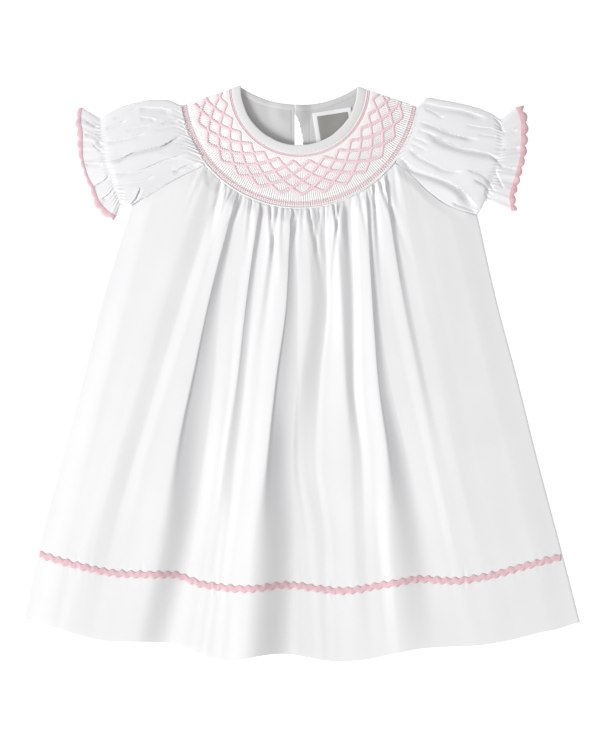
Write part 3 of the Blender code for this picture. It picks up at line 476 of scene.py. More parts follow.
def reed_height(angle, radius):
    """The gaps between the reeds, deep where the reeds are free and shallow where stitched."""
    turn = angle / REED_ANGLE + REED_WANDER * uneven(angle * 40, 3)
    gap = np.exp(-((turn - np.round(turn)) / GAP_WIDTH) ** 2)
    size = HELD_DEPTH + FREED_DEPTH * smooth_step((radius - FREED_FROM) / FREED_OVER)
    near_neck = smooth_step((radius - OPEN_FROM) / OPEN_OVER)
    return -size * near_neck * (1 - STITCH_HOLD * thread_pinch(angle, radius)) * gap


def yoke_top(angle, radius):
    """Height of the pleated cloth without its reeds."""
    puff = PUFF_HEIGHT * (1 - thread_pinch(angle, radius))
    return yoke_underside(yoke_share(angle, radius), radius) + WALL + SEAT + puff


radii = np.linspace(REEDS_RADIUS, YOKE_RADIUS, REED_ROWS)
shares = np.linspace(0, 1, REED_COLUMNS)
radius_grid = np.repeat(radii[:, None], REED_COLUMNS, axis=1)
left_edge, right_edge = yoke_angle("left", radii)[:, None], yoke_angle("right", radii)[:, None]
angle_grid = left_edge + (right_edge - left_edge) * shares
heights = yoke_top(angle_grid, radius_grid) + reed_height(angle_grid, radius_grid)
heights -= TUCK_DEPTH * smooth_step((radius_grid - TUCK_FROM) / TUCK_OVER)
yoke_grid = np.dstack([on_ring(angle_grid, radius_grid), heights])
smocked_yoke = sheet_piece("smocked_yoke", yoke_grid, smocked_cotton,
                           ["front_yoke"], thick=0.4)

# %% [markdown]
# ## Embroidery threads
# Each stitch is a short fat bit of thread, lying on one reed and slanting with its row. One small
# solid is made once and set down hundreds of times, so that the rows look sewn and not printed.

# %% One stitch, many times
STITCH_SIDES = 6
STITCH_SPANS = (-0.5, -0.38, 0.0, 0.38, 0.5)  # along a stitch of length and thickness 1
STITCH_GIRTHS = (0.42, 0.86, 1.0, 0.86, 0.42)


def stitch_shape():
    """Points and faces of one stitch of length and thickness 1."""
    turns = np.arange(STITCH_SIDES) * 2 * math.pi / STITCH_SIDES
    points = [(span, 0.5 * girth * math.cos(turn), 0.5 * girth * math.sin(turn))
              for span, girth in zip(STITCH_SPANS, STITCH_GIRTHS) for turn in turns]
    faces = grid_faces(len(STITCH_SPANS), STITCH_SIDES, ring=True)
    last = (len(STITCH_SPANS) - 1) * STITCH_SIDES
    faces += [list(range(STITCH_SIDES)), list(range(last, last + STITCH_SIDES))[::-1]]
    return np.array(points), faces


def stitches(places, ways, sizes):
    """Stitches at places, lying along plan ways. A row of sizes is length, width and depth."""
    shape, shape_faces = stitch_shape()
    ways = ways / np.linalg.norm(ways, axis=1)[:, None]
    along = np.column_stack([ways, np.zeros(len(ways))])
    across = np.column_stack([-ways[:, 1], ways[:, 0], np.zeros(len(ways))])
    up = np.array((0.0, 0.0, 1.0))
    local = shape[None] * sizes[:, None]
    points = (places[:, None] + local[..., :1] * along[:, None] + local[..., 1:2] * across[:, None]
              + local[..., 2:] * up)
    faces = [[index * len(shape) + spot for spot in face]
             for index in range(len(places)) for face in shape_faces]
    return points.reshape(-1, 3), faces


def stitched_piece(name, groups, material):
    """Several groups of stitches as one piece."""
    points, faces = [], []
    for group_points, group_faces in groups:
        first = sum(len(block) for block in points)
        points.append(group_points)
        faces += [[first + spot for spot in face] for face in group_faces]
    fix_facing(new_piece(name, np.vstack(points), faces, material))


print("one stitch has", len(stitch_shape()[0]), "points")

# %% Rows of stitches on the yoke
ZIGZAG_STITCH = (2.2, 3.2, 1.05)  # length, width and depth
NECK_STITCH = (1.5, 1.0, 0.8)
BAND_STITCH = (1.95, 0.75, 0.9)
CORD_STITCH = (2.1, 1.25, 1.3)
CORD_STEP = math.radians(0.75)
CORD_SHIFT = 0.35  # outwards from the pinch in the reeds
LIFT_CHANGE, LENGTH_CHANGE = 0.05, 0.08  # from stitch to stitch
rng = np.random.default_rng(12)


def ring_row(radius_at, size, lift, step=REED_ANGLE, slant=0.0, trim=0.6):
    """Stitches along a line on the ring, one each step, from trim degrees inside the folds."""
    angles = np.arange(0.0, math.pi, step) + 0.5 * step
    radius = radius_at(angles)
    inside = ((angles > yoke_angle("left", radius) + math.radians(trim))
              & (angles < yoke_angle("right", radius) - math.radians(trim)))
    angles, radius = angles[inside], radius[inside]
    here = on_ring(angles, radius)
    ahead = on_ring(angles + 0.25 * step, radius_at(angles + 0.25 * step))
    back = on_ring(angles - 0.25 * step, radius_at(angles - 0.25 * step))
    ways = ahead - back
    turned = np.column_stack([ways[:, 0] - slant * ways[:, 1], ways[:, 1] + slant * ways[:, 0]])
    change = rng.uniform(-LIFT_CHANGE, LIFT_CHANGE, len(angles))
    height = yoke_top(angles, radius) + lift + change
    lengths = size[0] * rng.uniform(1 - LENGTH_CHANGE, 1 + LENGTH_CHANGE, len(angles))
    sizes = np.column_stack([lengths, np.full((len(angles), 2), size[1:])])
    return stitches(np.column_stack([here, height]), turned, sizes)


def circle(radius):
    """A line on the ring that keeps one radius."""
    return lambda angle: np.full_like(angle, radius)


rows = [ring_row(lambda angle, line=line: zigzag_radius(line, angle), ZIGZAG_STITCH, 0.38,
                 trim=1.3) for line in ZIGZAG_LINES]
rows += [ring_row(circle(radius), NECK_STITCH, 0.35, slant=0.35 * (-1) ** index)
         for index, radius in enumerate(NECK_LINE_RADII)]
rows += [ring_row(circle(radius), BAND_STITCH, 0.35, slant=0.5 * (-1) ** index)
         for index, radius in enumerate(BAND_RADII)]
stitched_piece("yoke_embroidery", rows, pink_thread)
cord = ring_row(circle(CORD_RADIUS + CORD_SHIFT), CORD_STITCH, 0.55, step=CORD_STEP, slant=0.8,
                trim=0.3)
stitched_piece("yoke_cord", [cord], white_thread)

# %% [markdown]
# ## Neck binding
# The raw neck edge is wrapped in a strip cut on the bias, so that it can bend round the ring. Its
# section is flat below and round above. The back neck has the same strip in two lengths, one on
# each side of the slit. One function gives the section for all three edges.

# %% The front neck binding
BINDING_WIDTH, BINDING_THICK = 7.6, 2.0
ROUND_FROM = 0.45  # of the thickness, at which the round top begins
BINDING_FULLNESS = 0.35  # less is squarer
NECK_PUCKER, NECK_PUCKER_TURN = 0.10, 95


def binding_section(width, thick, points=9):
    """A flat-bottomed, round-topped section: how far across and how high each point is."""
    turn = np.linspace(0.0, math.pi, points)
    across = 0.5 * width * (1 + np.cos(turn))
    high = thick * (ROUND_FROM + (1 - ROUND_FROM) * np.sin(turn) ** BINDING_FULLNESS)
    return np.concatenate([[0.0, width], across]), np.concatenate([[0.0, 0.0], high])


across, high = binding_section(BINDING_WIDTH, BINDING_THICK, 13)
shares = np.linspace(0.0, 1.0, 260)[:, None]
radius = NECK_RADIUS + across[None, :] + 0 * shares
left_edge, right_edge = yoke_angle("left", radius[0]), yoke_angle("right", radius[0])
angle = left_edge + (right_edge - left_edge) * shares
puckers = np.sin(angle * NECK_PUCKER_TURN + 1.2 * uneven(angle * 14, 5))
puckers = puckers * (across / BINDING_WIDTH) ** 2
level = yoke_underside(shares + 0 * radius, radius) + high + NECK_PUCKER * puckers * (high > 0)
rings = np.dstack([on_ring(angle, radius + 0.15 * uneven(angle * 9, 8)), level])
rod_piece("front_neck_binding_cloth", rings, binding_cotton,
          ["front_neck_binding"])

# %% [markdown]
# ## Back neck and keyhole
# At the back the yoke is plain cloth with a slit, which a button and a thread loop close at the
# neck. The slit's right edge is a little wavy, where its narrow facing turns under. The slit is
# made by leaving out one column of faces between two halves of a single grid.

# %% The back neck curve
BACK_NECK_CENTRE = np.array((-1.7, 316.2))
BACK_NECK_RADIUS = 87.5
BACK_BINDING_WIDTH = 5.0
KEYHOLE_LEFT_X = -5.5
# Heights on the plan and the slit's width at each, from its lower end to the neck.
KEYHOLE = ((160.0, 2.0), (172.0, 4.6), (195.0, 7.4), (208.0, 5.2), (215.0, 3.6), (221.5, 0.7),
           (234.0, 0.5))
EDGE_WAVE, EDGE_WAVE_LENGTH = 0.45, 4.7  # of its right edge
BUTTON_PLACE = (-9.5, 222.8)
BUTTON_LIFT = 2.6
LIFT_FLAT, LIFT_FADE = 8.0, 12.0  # how far round the button it is full, and then dies out


def button_lift(x, y):
    """The back neck edge rises over the button that lies under it."""
    away = np.hypot(x - BUTTON_PLACE[0], y - BUTTON_PLACE[1])
    return BUTTON_LIFT * (1 - smooth_step((away - LIFT_FLAT) / LIFT_FADE))


def back_neck_end(side, radius):
    """The angle at which the back neck curve meets a shoulder fold."""
    shift = YOKE_CENTRE - BACK_NECK_CENTRE
    start, end = (np.array(point) + shift for point in SHOULDER_FOLD[side])
    point = line_on_circle(2 * start - end, end, radius)
    return np.arctan2(point[..., 0], -point[..., 1])


def back_neck_point(radius, angle):
    """Plan x and y on a circle round the back neck's centre, from straight below."""
    return (BACK_NECK_CENTRE[0] + radius * np.sin(angle),
            BACK_NECK_CENTRE[1] - radius * np.cos(angle))


def keyhole_edge(side, y):
    """Where the slit's edge is at a height on the plan."""
    ys, widths = zip(*KEYHOLE)
    width = smooth_through(ys, widths, np.clip(y, ys[0], ys[-1]))
    wave = EDGE_WAVE * np.sin(2 * math.pi * np.asarray(y) / EDGE_WAVE_LENGTH)
    wave = wave * smooth_step((width - 1.5) / 2.0)  # none where the slit is narrow
    return KEYHOLE_LEFT_X + (width + wave if side == "right" else 0.0 * width)


def slit_angle(side, radius):
    """The angle of the slit's edge on a circle round the back neck's centre."""
    edge = keyhole_edge(side, BACK_NECK_CENTRE[1] - radius)
    return np.arcsin((edge - BACK_NECK_CENTRE[0]) / radius)


print("the slit is", max(width for level, width in KEYHOLE), "wide at its widest")

# %% The back neck binding
THICK_AT_SHOULDER = 1.2
THICKER_AT_SLIT = 1.0
for side in ("left", "right"):
    shares = np.linspace(0.0, 1.0, 70)[:, None]
    thick = THICK_AT_SHOULDER + THICKER_AT_SLIT * smooth_step((1 - shares) * 2.2)
    across, high = binding_section(BACK_BINDING_WIDTH, 1.0)
    radius = BACK_NECK_RADIUS + across[None, :] + 0 * shares
    start = slit_angle(side, radius)
    x, y = back_neck_point(radius, start + (back_neck_end(side, radius) - start) * shares)
    rings = np.dstack([x, y, button_lift(x, y) + thick * high])
    rod_piece("back_neck_binding_" + side + "_cloth", rings, inside_binding_painted_shade,
              ["back_neck_binding_" + side])

# %% The back yoke
SLIT_ROWS = 40
SLIT_DOWN = 0.72  # how far down the back yoke the slit reaches
BINDING_LAP, PANEL_LAP = 0.3, 0.2  # how far the cloth goes under the binding and the skirt
BACK_LEVEL = 0.75  # of its upper side above the floor
FACING_LINES = (-7.8, 7.7)  # the stitching that holds the slit's turned edges
LINE_DENT, LINE_WIDTH = 0.3, 0.5
BACK_WAVE = 0.35
downs = np.concatenate([np.linspace(0.0, SLIT_DOWN, SLIT_ROWS + 1), np.linspace(0.745, 1.0, 12)])


def back_yoke_half(side, shares):
    """Plan points of half the back yoke: share 0 is the slit and 1 the shoulder fold."""
    neck_radius = BACK_NECK_RADIUS + BACK_BINDING_WIDTH - BINDING_LAP
    start = slit_angle(side, neck_radius)
    angle = start + (back_neck_end(side, neck_radius) - start) * shares
    top = np.column_stack(back_neck_point(neck_radius, angle))
    middle = math.acos((YOKE_CENTRE[0] - keyhole_edge(side, KEYHOLE[0][0])) / YOKE_RADIUS)
    around = middle + (yoke_angle(side, YOKE_RADIUS) - middle) * shares
    bottom = on_ring(around, YOKE_RADIUS + PANEL_LAP)
    plan = top[None] + (bottom - top)[None] * downs[:, None, None]
    shift = keyhole_edge(side, plan[:, 0, 1]) - plan[:, 0, 0]
    plan[..., 0] += shift[:, None] * (1 - smooth_step(shares / 0.5))
    return plan


# The columns are closer beside the slit, so that its edges are smooth.
left_shares = np.concatenate([np.linspace(0, 0.05, 9), np.linspace(0.07, 1, 30)])
right_shares = np.concatenate([np.linspace(0, 0.16, 22), np.linspace(0.18, 1, 28)])
left_half = back_yoke_half("left", left_shares)[:, ::-1]
right_half = back_yoke_half("right", right_shares)
x, y = np.moveaxis(np.concatenate([left_half, right_half], axis=1), -1, 0)
dents = sum(np.exp(-((x - line) / LINE_WIDTH) ** 2) for line in FACING_LINES)
wander = uneven(0.10 * x - 0.03 * y, 21) * smooth_step((np.abs(x + 1.7) - 10) / 12)
level = BACK_LEVEL + button_lift(x, y) - LINE_DENT * dents + BACK_WAVE * wander
back_grid = np.dstack([x, y, level])
rows, columns = back_grid.shape[:2]
slit_column = len(left_shares) - 1
faces = [face[::-1] for index, face in enumerate(grid_faces(rows, columns))
         if not (index % (columns - 1) == slit_column and index // (columns - 1) < SLIT_ROWS)]
# The inside of the back yoke takes the grey copy of the cotton, as painted shade.
back_yoke_cloth = new_piece("back_yoke_cloth", back_grid.reshape(-1, 3), faces, inside_cotton_painted_shade,
                            ["back_yoke"], thick=0.45)

# %% [markdown]
# ## Label, button and loop
# Inside the back neck is a folded tape with a grey satin panel. Its lettering is left off. The
# button lies under the left end of the neck edge, face down, and the loop holds it by its shank.

# %% The label
LABEL_CORNER, LABEL_SIZE, LABEL_TILT = (9.4, 221.7), (33.5, 34.0), math.radians(9.0)
LABEL_BOW = 0.25
ROUNDED = 0.25  # how far the edges bend down


def label_patch(name, inset, low, thick, material, node):
    """A flat tilted patch with rounded edges, a little bowed as sewn tape is."""
    wide, long = LABEL_SIZE
    down, over = np.meshgrid(np.linspace(inset, long - inset, 40),
                             np.linspace(inset, wide - inset, 40), indexing="ij")
    x = LABEL_CORNER[0] + over * math.cos(LABEL_TILT) + down * math.sin(LABEL_TILT)
    y = LABEL_CORNER[1] + over * math.sin(LABEL_TILT) - down * math.cos(LABEL_TILT)
    edge = np.minimum(np.minimum(down - inset, long - inset - down),
                      np.minimum(over - inset, wide - inset - over))
    level = (low + thick - ROUNDED * np.exp(-edge / 0.4)
             + LABEL_BOW * np.sin(0.23 * over + 0.12 * down))
    sheet_piece(name, np.dstack([x, y, level]), material, [node], thick=thick)


label_patch("neck_label_tape", 0.0, 1.5, 0.5, label_tape, "neck_label")
label_patch("neck_label_satin", 3.6, 2.1, 0.45, label_satin, "label_panel")

# %% The button
# Radius and height up its face's rim, in over its back and up its shank.
BUTTON_PROFILE = ((3.4, 0.0), (4.1, 0.15), (4.5, 0.5), (4.5, 1.0), (4.15, 1.3), (3.7, 1.3),
                  (3.3, 0.95), (1.4, 0.9), (1.05, 1.2), (0.95, 2.3))
turns = np.linspace(0, 2 * math.pi, 40, endpoint=False)
rings = np.array([[(BUTTON_PLACE[0] + radius * math.cos(turn),
                    BUTTON_PLACE[1] + radius * math.sin(turn), level) for turn in turns]
                  for radius, level in BUTTON_PROFILE])
rod_piece("pearl_button", rings, button_resin, ["back_button"])

# %% The loop
LOOP_LEVEL = 1.95
LOOP_BEND, LOOP_THREAD, LOOP_TWIST = 1.6, 0.30, 0.05  # radius of its bend, its thread and its twist
LOOP_LEG = ((-3.2, 2.2), (-6.0, 1.95))  # x, and distance to the button's middle line


def plan_normals(points):
    """Square to a line of plan points, on its right-hand side."""
    ways = np.gradient(points, axis=0)
    ways /= np.linalg.norm(ways, axis=1)[:, None]
    return np.column_stack([ways[:, 1], -ways[:, 0]])


bend = np.linspace(0.5 * math.pi, 1.5 * math.pi, 24)
route = np.vstack([[(x, BUTTON_PLACE[1] + away) for x, away in LOOP_LEG],
                   np.column_stack([BUTTON_PLACE[0] + LOOP_BEND * np.cos(bend),
                                    BUTTON_PLACE[1] + LOOP_BEND * np.sin(bend)]),
                   [(x, BUTTON_PLACE[1] - away) for x, away in LOOP_LEG[::-1]]])
turns = np.linspace(0, 2 * math.pi, 8, endpoint=False)
strands = np.cos(np.arange(len(route)))[:, None] * np.cos(2 * turns)
girth = LOOP_THREAD + LOOP_TWIST * strands
flat = route[:, None] + plan_normals(route)[:, None] * (girth * np.cos(turns))[..., None]
rings = np.dstack([flat, LOOP_LEVEL + girth * np.sin(turns)])
rod_piece("button_loop_thread", rings, white_thread, ["back_button_loop"])

# %% [markdown]
# ## The skirt's folds
# The skirt hangs from the yoke in deep folds that fan out to the hem. A cloth simulation would
# find folds of its own, so these are listed one by one. Each row of the table is one line down the
# cloth: a ridge, a valley or the crisp lip beside a valley. A lip leans over its valley, as a fold
# of starched cotton does, so the columns of the grid there go out and back.

# %% Fold lines
# The seam between a sleeve and the skirt, from the underarm to the yoke.
RAGLAN = {
    "left": ((-144.4, 142.6), (-126.6, 153.2), (-114.0, 160.8), (-99.5, 168.6), (-82.0, 177.0)),
    "right": ((149.6, 134.6), (127.5, 141.6), (107.0, 155.6), (92.0, 170.6), (80.4, 179.8)),
}
# Each line has an x at the seam, at four stations down the plan (x1 to x4) and at the hem, and a
# height above the floor at the seam, at the last three stations (z2 to z4) and at the hem. An
# edge and a fold with the same letter are a lip and its valley. A bank is the soft side of a
# valley, and a roll is where the cloth turns down to a side.
STATIONS = (62.0, -6.0, -74.0, -142.0)
Fold = namedtuple("Fold", "name seam_x x1 x2 x3 x4 hem_x top_z z2 z3 z4 hem_z")
FOLDS = (
    Fold("left_side", -144, -169, -186, -204, -222, -237, 2.7, 2.7, 2.7, 2.7, 2.7),
    Fold("left_roll", -124, -148, -165, -181, -197, -211, 5.8, 6.4, 6.6, 6.6, 6.2),
    Fold("bank_a", -80, -115, -135, -155.5, -174, -190, 7.8, 8.8, 9.0, 8.6, 7.6),
    Fold("fold_a", -68, -101, -121.5, -142, -161, -178, 5.8, 8.0, 8.3, 8.2, 7.4),
    Fold("ridge_ab", -62, -90, -111, -131, -146, -165, 8.2, 9.8, 10.0, 9.2, 7.8),
    Fold("edge_b", -55, -78.6, -93, -108, -121.5, -141, 9.4, 11, 12.2, 11.2, 8.2),
    Fold("fold_b", -52, -68.4, -74, -82.5, -92.5, -113, 6.4, 4.8, 3.8, 3.6, 3.8),
    Fold("ridge_bc", -44, -55, -61, -70, -80, -97, 7, 6.9, 6.8, 5.8, 6),
    Fold("edge_c", -35.5, -47.2, -55, -65, -72, -86, 8.6, 8.2, 8.4, 7, 7.4),
    Fold("fold_c", -33, -41, -47.5, -56, -64, -79, 5.8, 6.2, 7.4, 8.4, 8.6),
    Fold("ridge_cd", -24, -30, -38, -47, -56, -66, 7.4, 8.6, 9.4, 10.2, 10.8),
    Fold("edge_d", -9.5, -12.9, -21.8, -29.5, -39.5, -46.5, 9.2, 11.6, 13.4, 14, 13.8),
    Fold("fold_d", -6, -2.6, -3.6, -7, -2, -6, 6.8, 6.6, 3.8, 3, 3),
    Fold("ridge_de", 5, 8.5, 1.7, -1, 6, 6, 8.4, 6.2, 3, 2.9, 2.9),
    Fold("fold_e", 19.5, 22, 16, 12, 20, 21, 4.6, 3.2, 2.9, 3, 3),
    Fold("edge_e", 22, 25.5, 20.5, 19, 28, 32, 7.4, 3.9, 3.8, 3.7, 3.4),
    Fold("ridge_ef", 31, 34.5, 37.5, 43, 45, 48, 8.6, 6.9, 6.2, 5.2, 4.4),
    Fold("fold_f", 41.5, 44.5, 45, 51.5, 54, 60, 4.6, 3.8, 5.1, 4.8, 4.5),
    Fold("bank_f", 47, 51, 52, 60, 65, 74, 7.7, 7.2, 7.2, 5.9, 4.9),
    Fold("edge_g", 54.5, 59.8, 64.8, 72.8, 75, 84, 8.6, 9.6, 10, 8.6, 5.6),
    Fold("fold_g", 57, 65.2, 75.5, 91.5, 106, 118, 6.8, 5.6, 3.4, 3, 3.8),
    Fold("ridge_gh", 64.5, 76, 90, 106, 121, 136, 7, 6, 4.4, 3.8, 4),
    Fold("edge_h", 69.5, 86, 99.5, 114, 129, 150, 8.2, 7.0, 5.3, 4.6, 4.3),
    Fold("fold_h", 72.5, 93, 107, 122, 137, 158, 5.4, 6.0, 5.2, 4.7, 4.3),
    Fold("ridge_hi", 82, 103, 118, 132, 148, 170, 6.2, 6.2, 5.6, 5.1, 4.5),
    Fold("fold_i", 98, 118, 132, 147, 165, 190, 5.6, 5.4, 5.1, 4.7, 4.3),
    Fold("right_roll", 124, 143, 160, 177, 194, 211, 4.8, 4.6, 4.5, 4.2, 3.9),
    Fold("right_side", 149.6, 166, 184, 201, 219, 237, 2.7, 2.7, 2.7, 2.7, 2.7),
)
# The bottom edge on the plan.
HEM = ((-237, -213), (-218, -214), (-205, -217.2), (-191, -221.4), (-178, -224.8), (-164, -227.2),
       (-130, -228.2), (-116, -229.1), (-103, -231.6), (-89, -236.7), (-76, -241), (-62, -243.1),
       (-48, -241.8), (-35, -239.4), (-21, -238.4), (-8, -239.3), (6, -241.8), (20, -244.4),
       (33, -245.3), (47, -244.4), (60, -242.7), (74, -239.3), (88, -236.7), (101, -234.2),
       (128, -232.5), (149, -231.6), (162, -229.9), (176, -227.4), (190, -224), (203, -220.6),
       (217, -218), (230, -213.8), (237, -212))
print(len(FOLDS), "fold lines")

# %% The skirt's edges
EDGE_LIFT = 0.6  # of the skirt and sleeves above the yoke's plain wall, at its seam


def arc_end(side):
    """Where the raglan seam meets the yoke."""
    across = RAGLAN[side][-1][0] - YOKE_CENTRE[0]
    return (RAGLAN[side][-1][0], YOKE_CENTRE[1] - math.sqrt(PANEL_RADIUS**2 - across**2))


def seam_y(x):
    """The top edge of the skirt: raglan seam, yoke, raglan seam."""
    x = np.asarray(x, float)
    drop = np.sqrt(np.maximum(PANEL_RADIUS**2 - (x - YOKE_CENTRE[0]) ** 2, 0.0))
    left = np.array([*RAGLAN["left"][:-1], arc_end("left")])
    right = np.array([arc_end("right"), *RAGLAN["right"][-2::-1]])
    on_left = smooth_through(left[:, 0], left[:, 1], np.clip(x, left[0, 0] - 2, left[-1, 0]))
    on_right = smooth_through(right[:, 0], right[:, 1], np.clip(x, right[0, 0], right[-1, 0]))
    return np.where(x < left[-1, 0], on_left,
                    np.where(x > right[0, 0], on_right, YOKE_CENTRE[1] - drop))


def hem_y(x):
    """The bottom edge of the skirt."""
    return smooth_through(*zip(*HEM), x)


def yoke_edge_height(x):
    """The height of the skirt and sleeves where they meet the front yoke."""
    share = np.clip((x - YOKE_CENTRE[0]) / (2 * YOKE_RADIUS) + 0.5, 0.0, 1.0)
    return UNDERSIDE + WALL + EDGE_LIFT + SEAM_RISE * np.sin(math.pi * share) ** RISE_POWER


def fold_tracks(downs):
    """Plan x and height of every fold line on every row."""
    xs, zs = [], []
    for fold in FOLDS:
        top = float(seam_y(fold.seam_x))
        length = top - float(hem_y(fold.hem_x))
        knots = [0.0, *((top - station) / length for station in STATIONS), 1.0]
        xs.append(smooth_through(knots, fold[1:7], downs))
        zs.append(smooth_through((0.0, *knots[2:5], 1.0), fold[7:], downs))
    return np.array(xs).T, np.array(zs).T


print("the yoke seam runs from", arc_end("left"), "to", arc_end("right"))

# %% [markdown]
# ## Gathers under the yoke
# Where the skirt is drawn into the yoke, the cloth makes a short, uneven gather every few
# millimetres. Some run on down as folds, and most die out within three centimetres. The longer
# ones are listed one by one. The small ones come from a fixed seed, so they're the same every time.

# %% Gathers
Gather = namedtuple("Gather", "x depth width length")
GATHERS = [Gather(*row) for row in (
    (-88, 0.9, 2.4, 26), (-80, 0.8, 1.8, 34), (-68, 1.5, 2.2, 30), (-63.5, 0.9, 1.4, 15),
    (-50, 1.1, 1.6, 20), (-42.5, 1.7, 1.8, 26), (-38.5, 1.0, 1.3, 15), (-26.4, 1.7, 1.6, 36),
    (-20.4, 1.6, 1.7, 95), (-15, 1.0, 1.2, 16), (-3.2, 1.3, 1.4, 20), (1.6, 1.0, 1.2, 13),
    (6.0, 1.6, 1.5, 36), (11.0, 1.1, 1.3, 18), (15.5, 1.5, 1.3, 24), (27.6, 1.7, 1.4, 22),
    (32.3, 1.7, 1.5, 34), (36.8, 1.2, 1.3, 40), (49.5, 1.2, 1.4, 24), (61.5, 1.5, 1.5, 60),
    (66.2, 1.2, 1.4, 40), (78, 0.9, 1.8, 24), (88, 0.6, 2.2, 20))]
GATHER_SIZE = 1.05
GATHER_BANK = 0.35  # how high the cloth stands beside a gather, of its depth
GATHER_SLANT = 0.16  # how far one wanders sideways on its way down
LEFT_SIDE, RIGHT_SIDE = 0.5, 0.9  # of its width: the left side is the steeper
SPREAD_OVER = 60.0  # below the seam, a gather is twice as wide
FULL_FOR = 4.0  # below the seam, it keeps its depth
rng = np.random.default_rng(7)
for x in np.arange(-79.0, 78.0, 3.7):
    GATHERS.append(Gather(x + rng.uniform(-1.6, 1.6), rng.uniform(0.1, 0.8),
                          rng.uniform(0.7, 1.5), rng.uniform(3, 12)))


def gather_height(seam_x, away):
    """How much the gathers lower or lift the cloth at a distance from the seam."""
    total = np.zeros(np.broadcast(seam_x, away).shape)
    for gather in GATHERS:
        width = gather.width * (1 + away / SPREAD_OVER)
        near = seam_x - gather.x - GATHER_SLANT * away * math.sin(2.3 * gather.x)
        near = near / (np.where(near < 0, LEFT_SIDE, RIGHT_SIDE) * width)
        fade = np.exp(-((away - FULL_FOR) / gather.length).clip(0) ** 1.5)
        banks = GATHER_BANK * np.exp(-((np.abs(near) - 2.0) / 1.2) ** 2)
        total += GATHER_SIZE * gather.depth * fade * (banks - np.exp(-near ** 2))
    return total * smooth_step((away + 2.5) / 4.0)


print(len(GATHERS), "gathers")

# %% [markdown]
# ## The skirt's grid
# Rows run from seam to hem and columns down the fold lines. Beside a lip the columns stand close
# together. Four lists say where each of them goes from the lip's edge to the valley: how far it
# leans out over the valley, its share of the way across, and its share of the way down. The last
# list is for a lip on the right of its valley, where the cloth under it falls as a steep wall.

# %% The skirt's grid
LIP_OUT = (0.0, 0.45, 0.80, 1.00, 0.92, 0.80, 0.80, 0.80, 0.80, 0.80, 0.80, 0.80, 0.80)
SLOPE = (0.0, 0.0, 0.0, 0.0, 0.0, 0.0, 0.12, 0.28, 0.44, 0.60, 0.75, 0.88, 0.97)
FALL = (0.0, 0.02, 0.06, 0.10, 0.13, 0.15, 0.30, 0.52, 0.70, 0.84, 0.93, 0.975, 1.0)
WALL_FALL = (0.0, 0.03, 0.15, 0.40, 0.65, 0.82, 0.88, 0.91, 0.94, 0.96, 0.98, 0.99, 1.0)
COLUMN_STEP = 1.62  # about how far apart the other columns are
FEWEST_COLUMNS = 5
LIP_FROM, LIP_OVER = 0.8, 2.0  # a lower step has no lip, and one this much higher a full one
CRISP_TO, CRISP_FADE = 170.0, 130.0  # below the seam, the lips stay crisp and then die out
LIP_ROOM = 0.8  # left free between a lip's cloth and the valley's line


def column_table():
    """For each column: its fold line, even share of the way to the next one, lean of the lip,
    share of the way across, share of the way down, and 1 if it is beside a lip."""
    table = []
    for spot, (this, after) in enumerate(zip(FOLDS[:-1], FOLDS[1:])):
        if this.name[-2:] == after.name[-2:] and "edge_" in this.name + after.name:
            if this.name.startswith("edge_"):
                rows = list(zip(LIP_OUT, SLOPE, FALL))
            else:
                wall = list(zip(LIP_OUT, SLOPE, WALL_FALL))[:0:-1]
                rows = [(-out, 1 - slope, 1 - drop) for out, slope, drop in wall]
                rows = [(0.0, 0.0, 0.0), *rows]
            table += [(spot, index / len(rows), *row, 1) for index, row in enumerate(rows)]
        else:
            wide = max(after.x4 - this.x4, after.x1 - this.x1)
            count = max(FEWEST_COLUMNS, round(wide / COLUMN_STEP))
            for share in np.arange(count) / count:
                drop = 0.6 * share + 0.4 * smooth_step(share)
                table.append((spot, share, 0.0, share, drop, 0))
    table.append((len(FOLDS) - 2, 1.0, 0.0, 1.0, 1.0, 0))
    return np.array(table)


def skirt_surface(downs):
    """The skirt's outer points, where each column leaves the seam, and distances below it."""
    line_x, line_z = fold_tracks(downs)
    table = column_table()
    spots = table[:, 0].astype(int)
    even, lip, slope, drop, on_lip = table[:, 1:].T
    this_x, next_x = line_x[:, spots], line_x[:, spots + 1]
    this_z, next_z = line_z[:, spots], line_z[:, spots + 1]
    seam = np.array([fold.seam_x for fold in FOLDS], float)
    hem = np.array([fold.hem_x for fold in FOLDS], float)
    seam_x = seam[spots] + (seam[spots + 1] - seam[spots]) * even
    hem_x = hem[spots] + (hem[spots + 1] - hem[spots]) * even
    top = seam_y(seam_x)
    away = (top - hem_y(hem_x)) * downs[:, None]
    crisp = on_lip * smooth_step((np.abs(next_z - this_z) - LIP_FROM) / LIP_OVER)
    crisp = crisp * (1 - smooth_step((away - CRISP_TO) / CRISP_FADE))
    room = next_x - this_x
    reach = room - LIP_ROOM * (lip != 0)
    sharp_x = np.where(lip < 0, room + lip - reach * (1 - slope), lip + reach * slope)
    sharp_x = np.where(lip == 0, 0.0, sharp_x)
    lipped_x = even * room + (sharp_x - even * room) * crisp
    x = this_x + np.where(on_lip > 0, lipped_x, slope * room)
    falling = (on_lip > 0) & (next_z < this_z)
    soft = np.where(falling, smooth_step(1.15 * even - 0.07), 0.5 * even + 0.5 * smooth_step(even))
    share_z = soft + (drop - soft) * np.maximum(crisp, 1 - on_lip)
    z = this_z + (next_z - this_z) * share_z
    return x, top - away, z, seam_x + 0 * away, away


# The first row goes in under the yoke. Rows are close at the gathers and at the hem's stitching.
downs = np.concatenate([[-0.003], np.linspace(0.0, 0.075, 27), np.linspace(0.075, 0.80, 58)[1:],
                        np.linspace(0.80, 0.90, 20)[1:], np.linspace(0.90, 1.0, 12)[1:]])
x, y, z, seam_x, away = skirt_surface(downs)
print("skirt grid", x.shape)

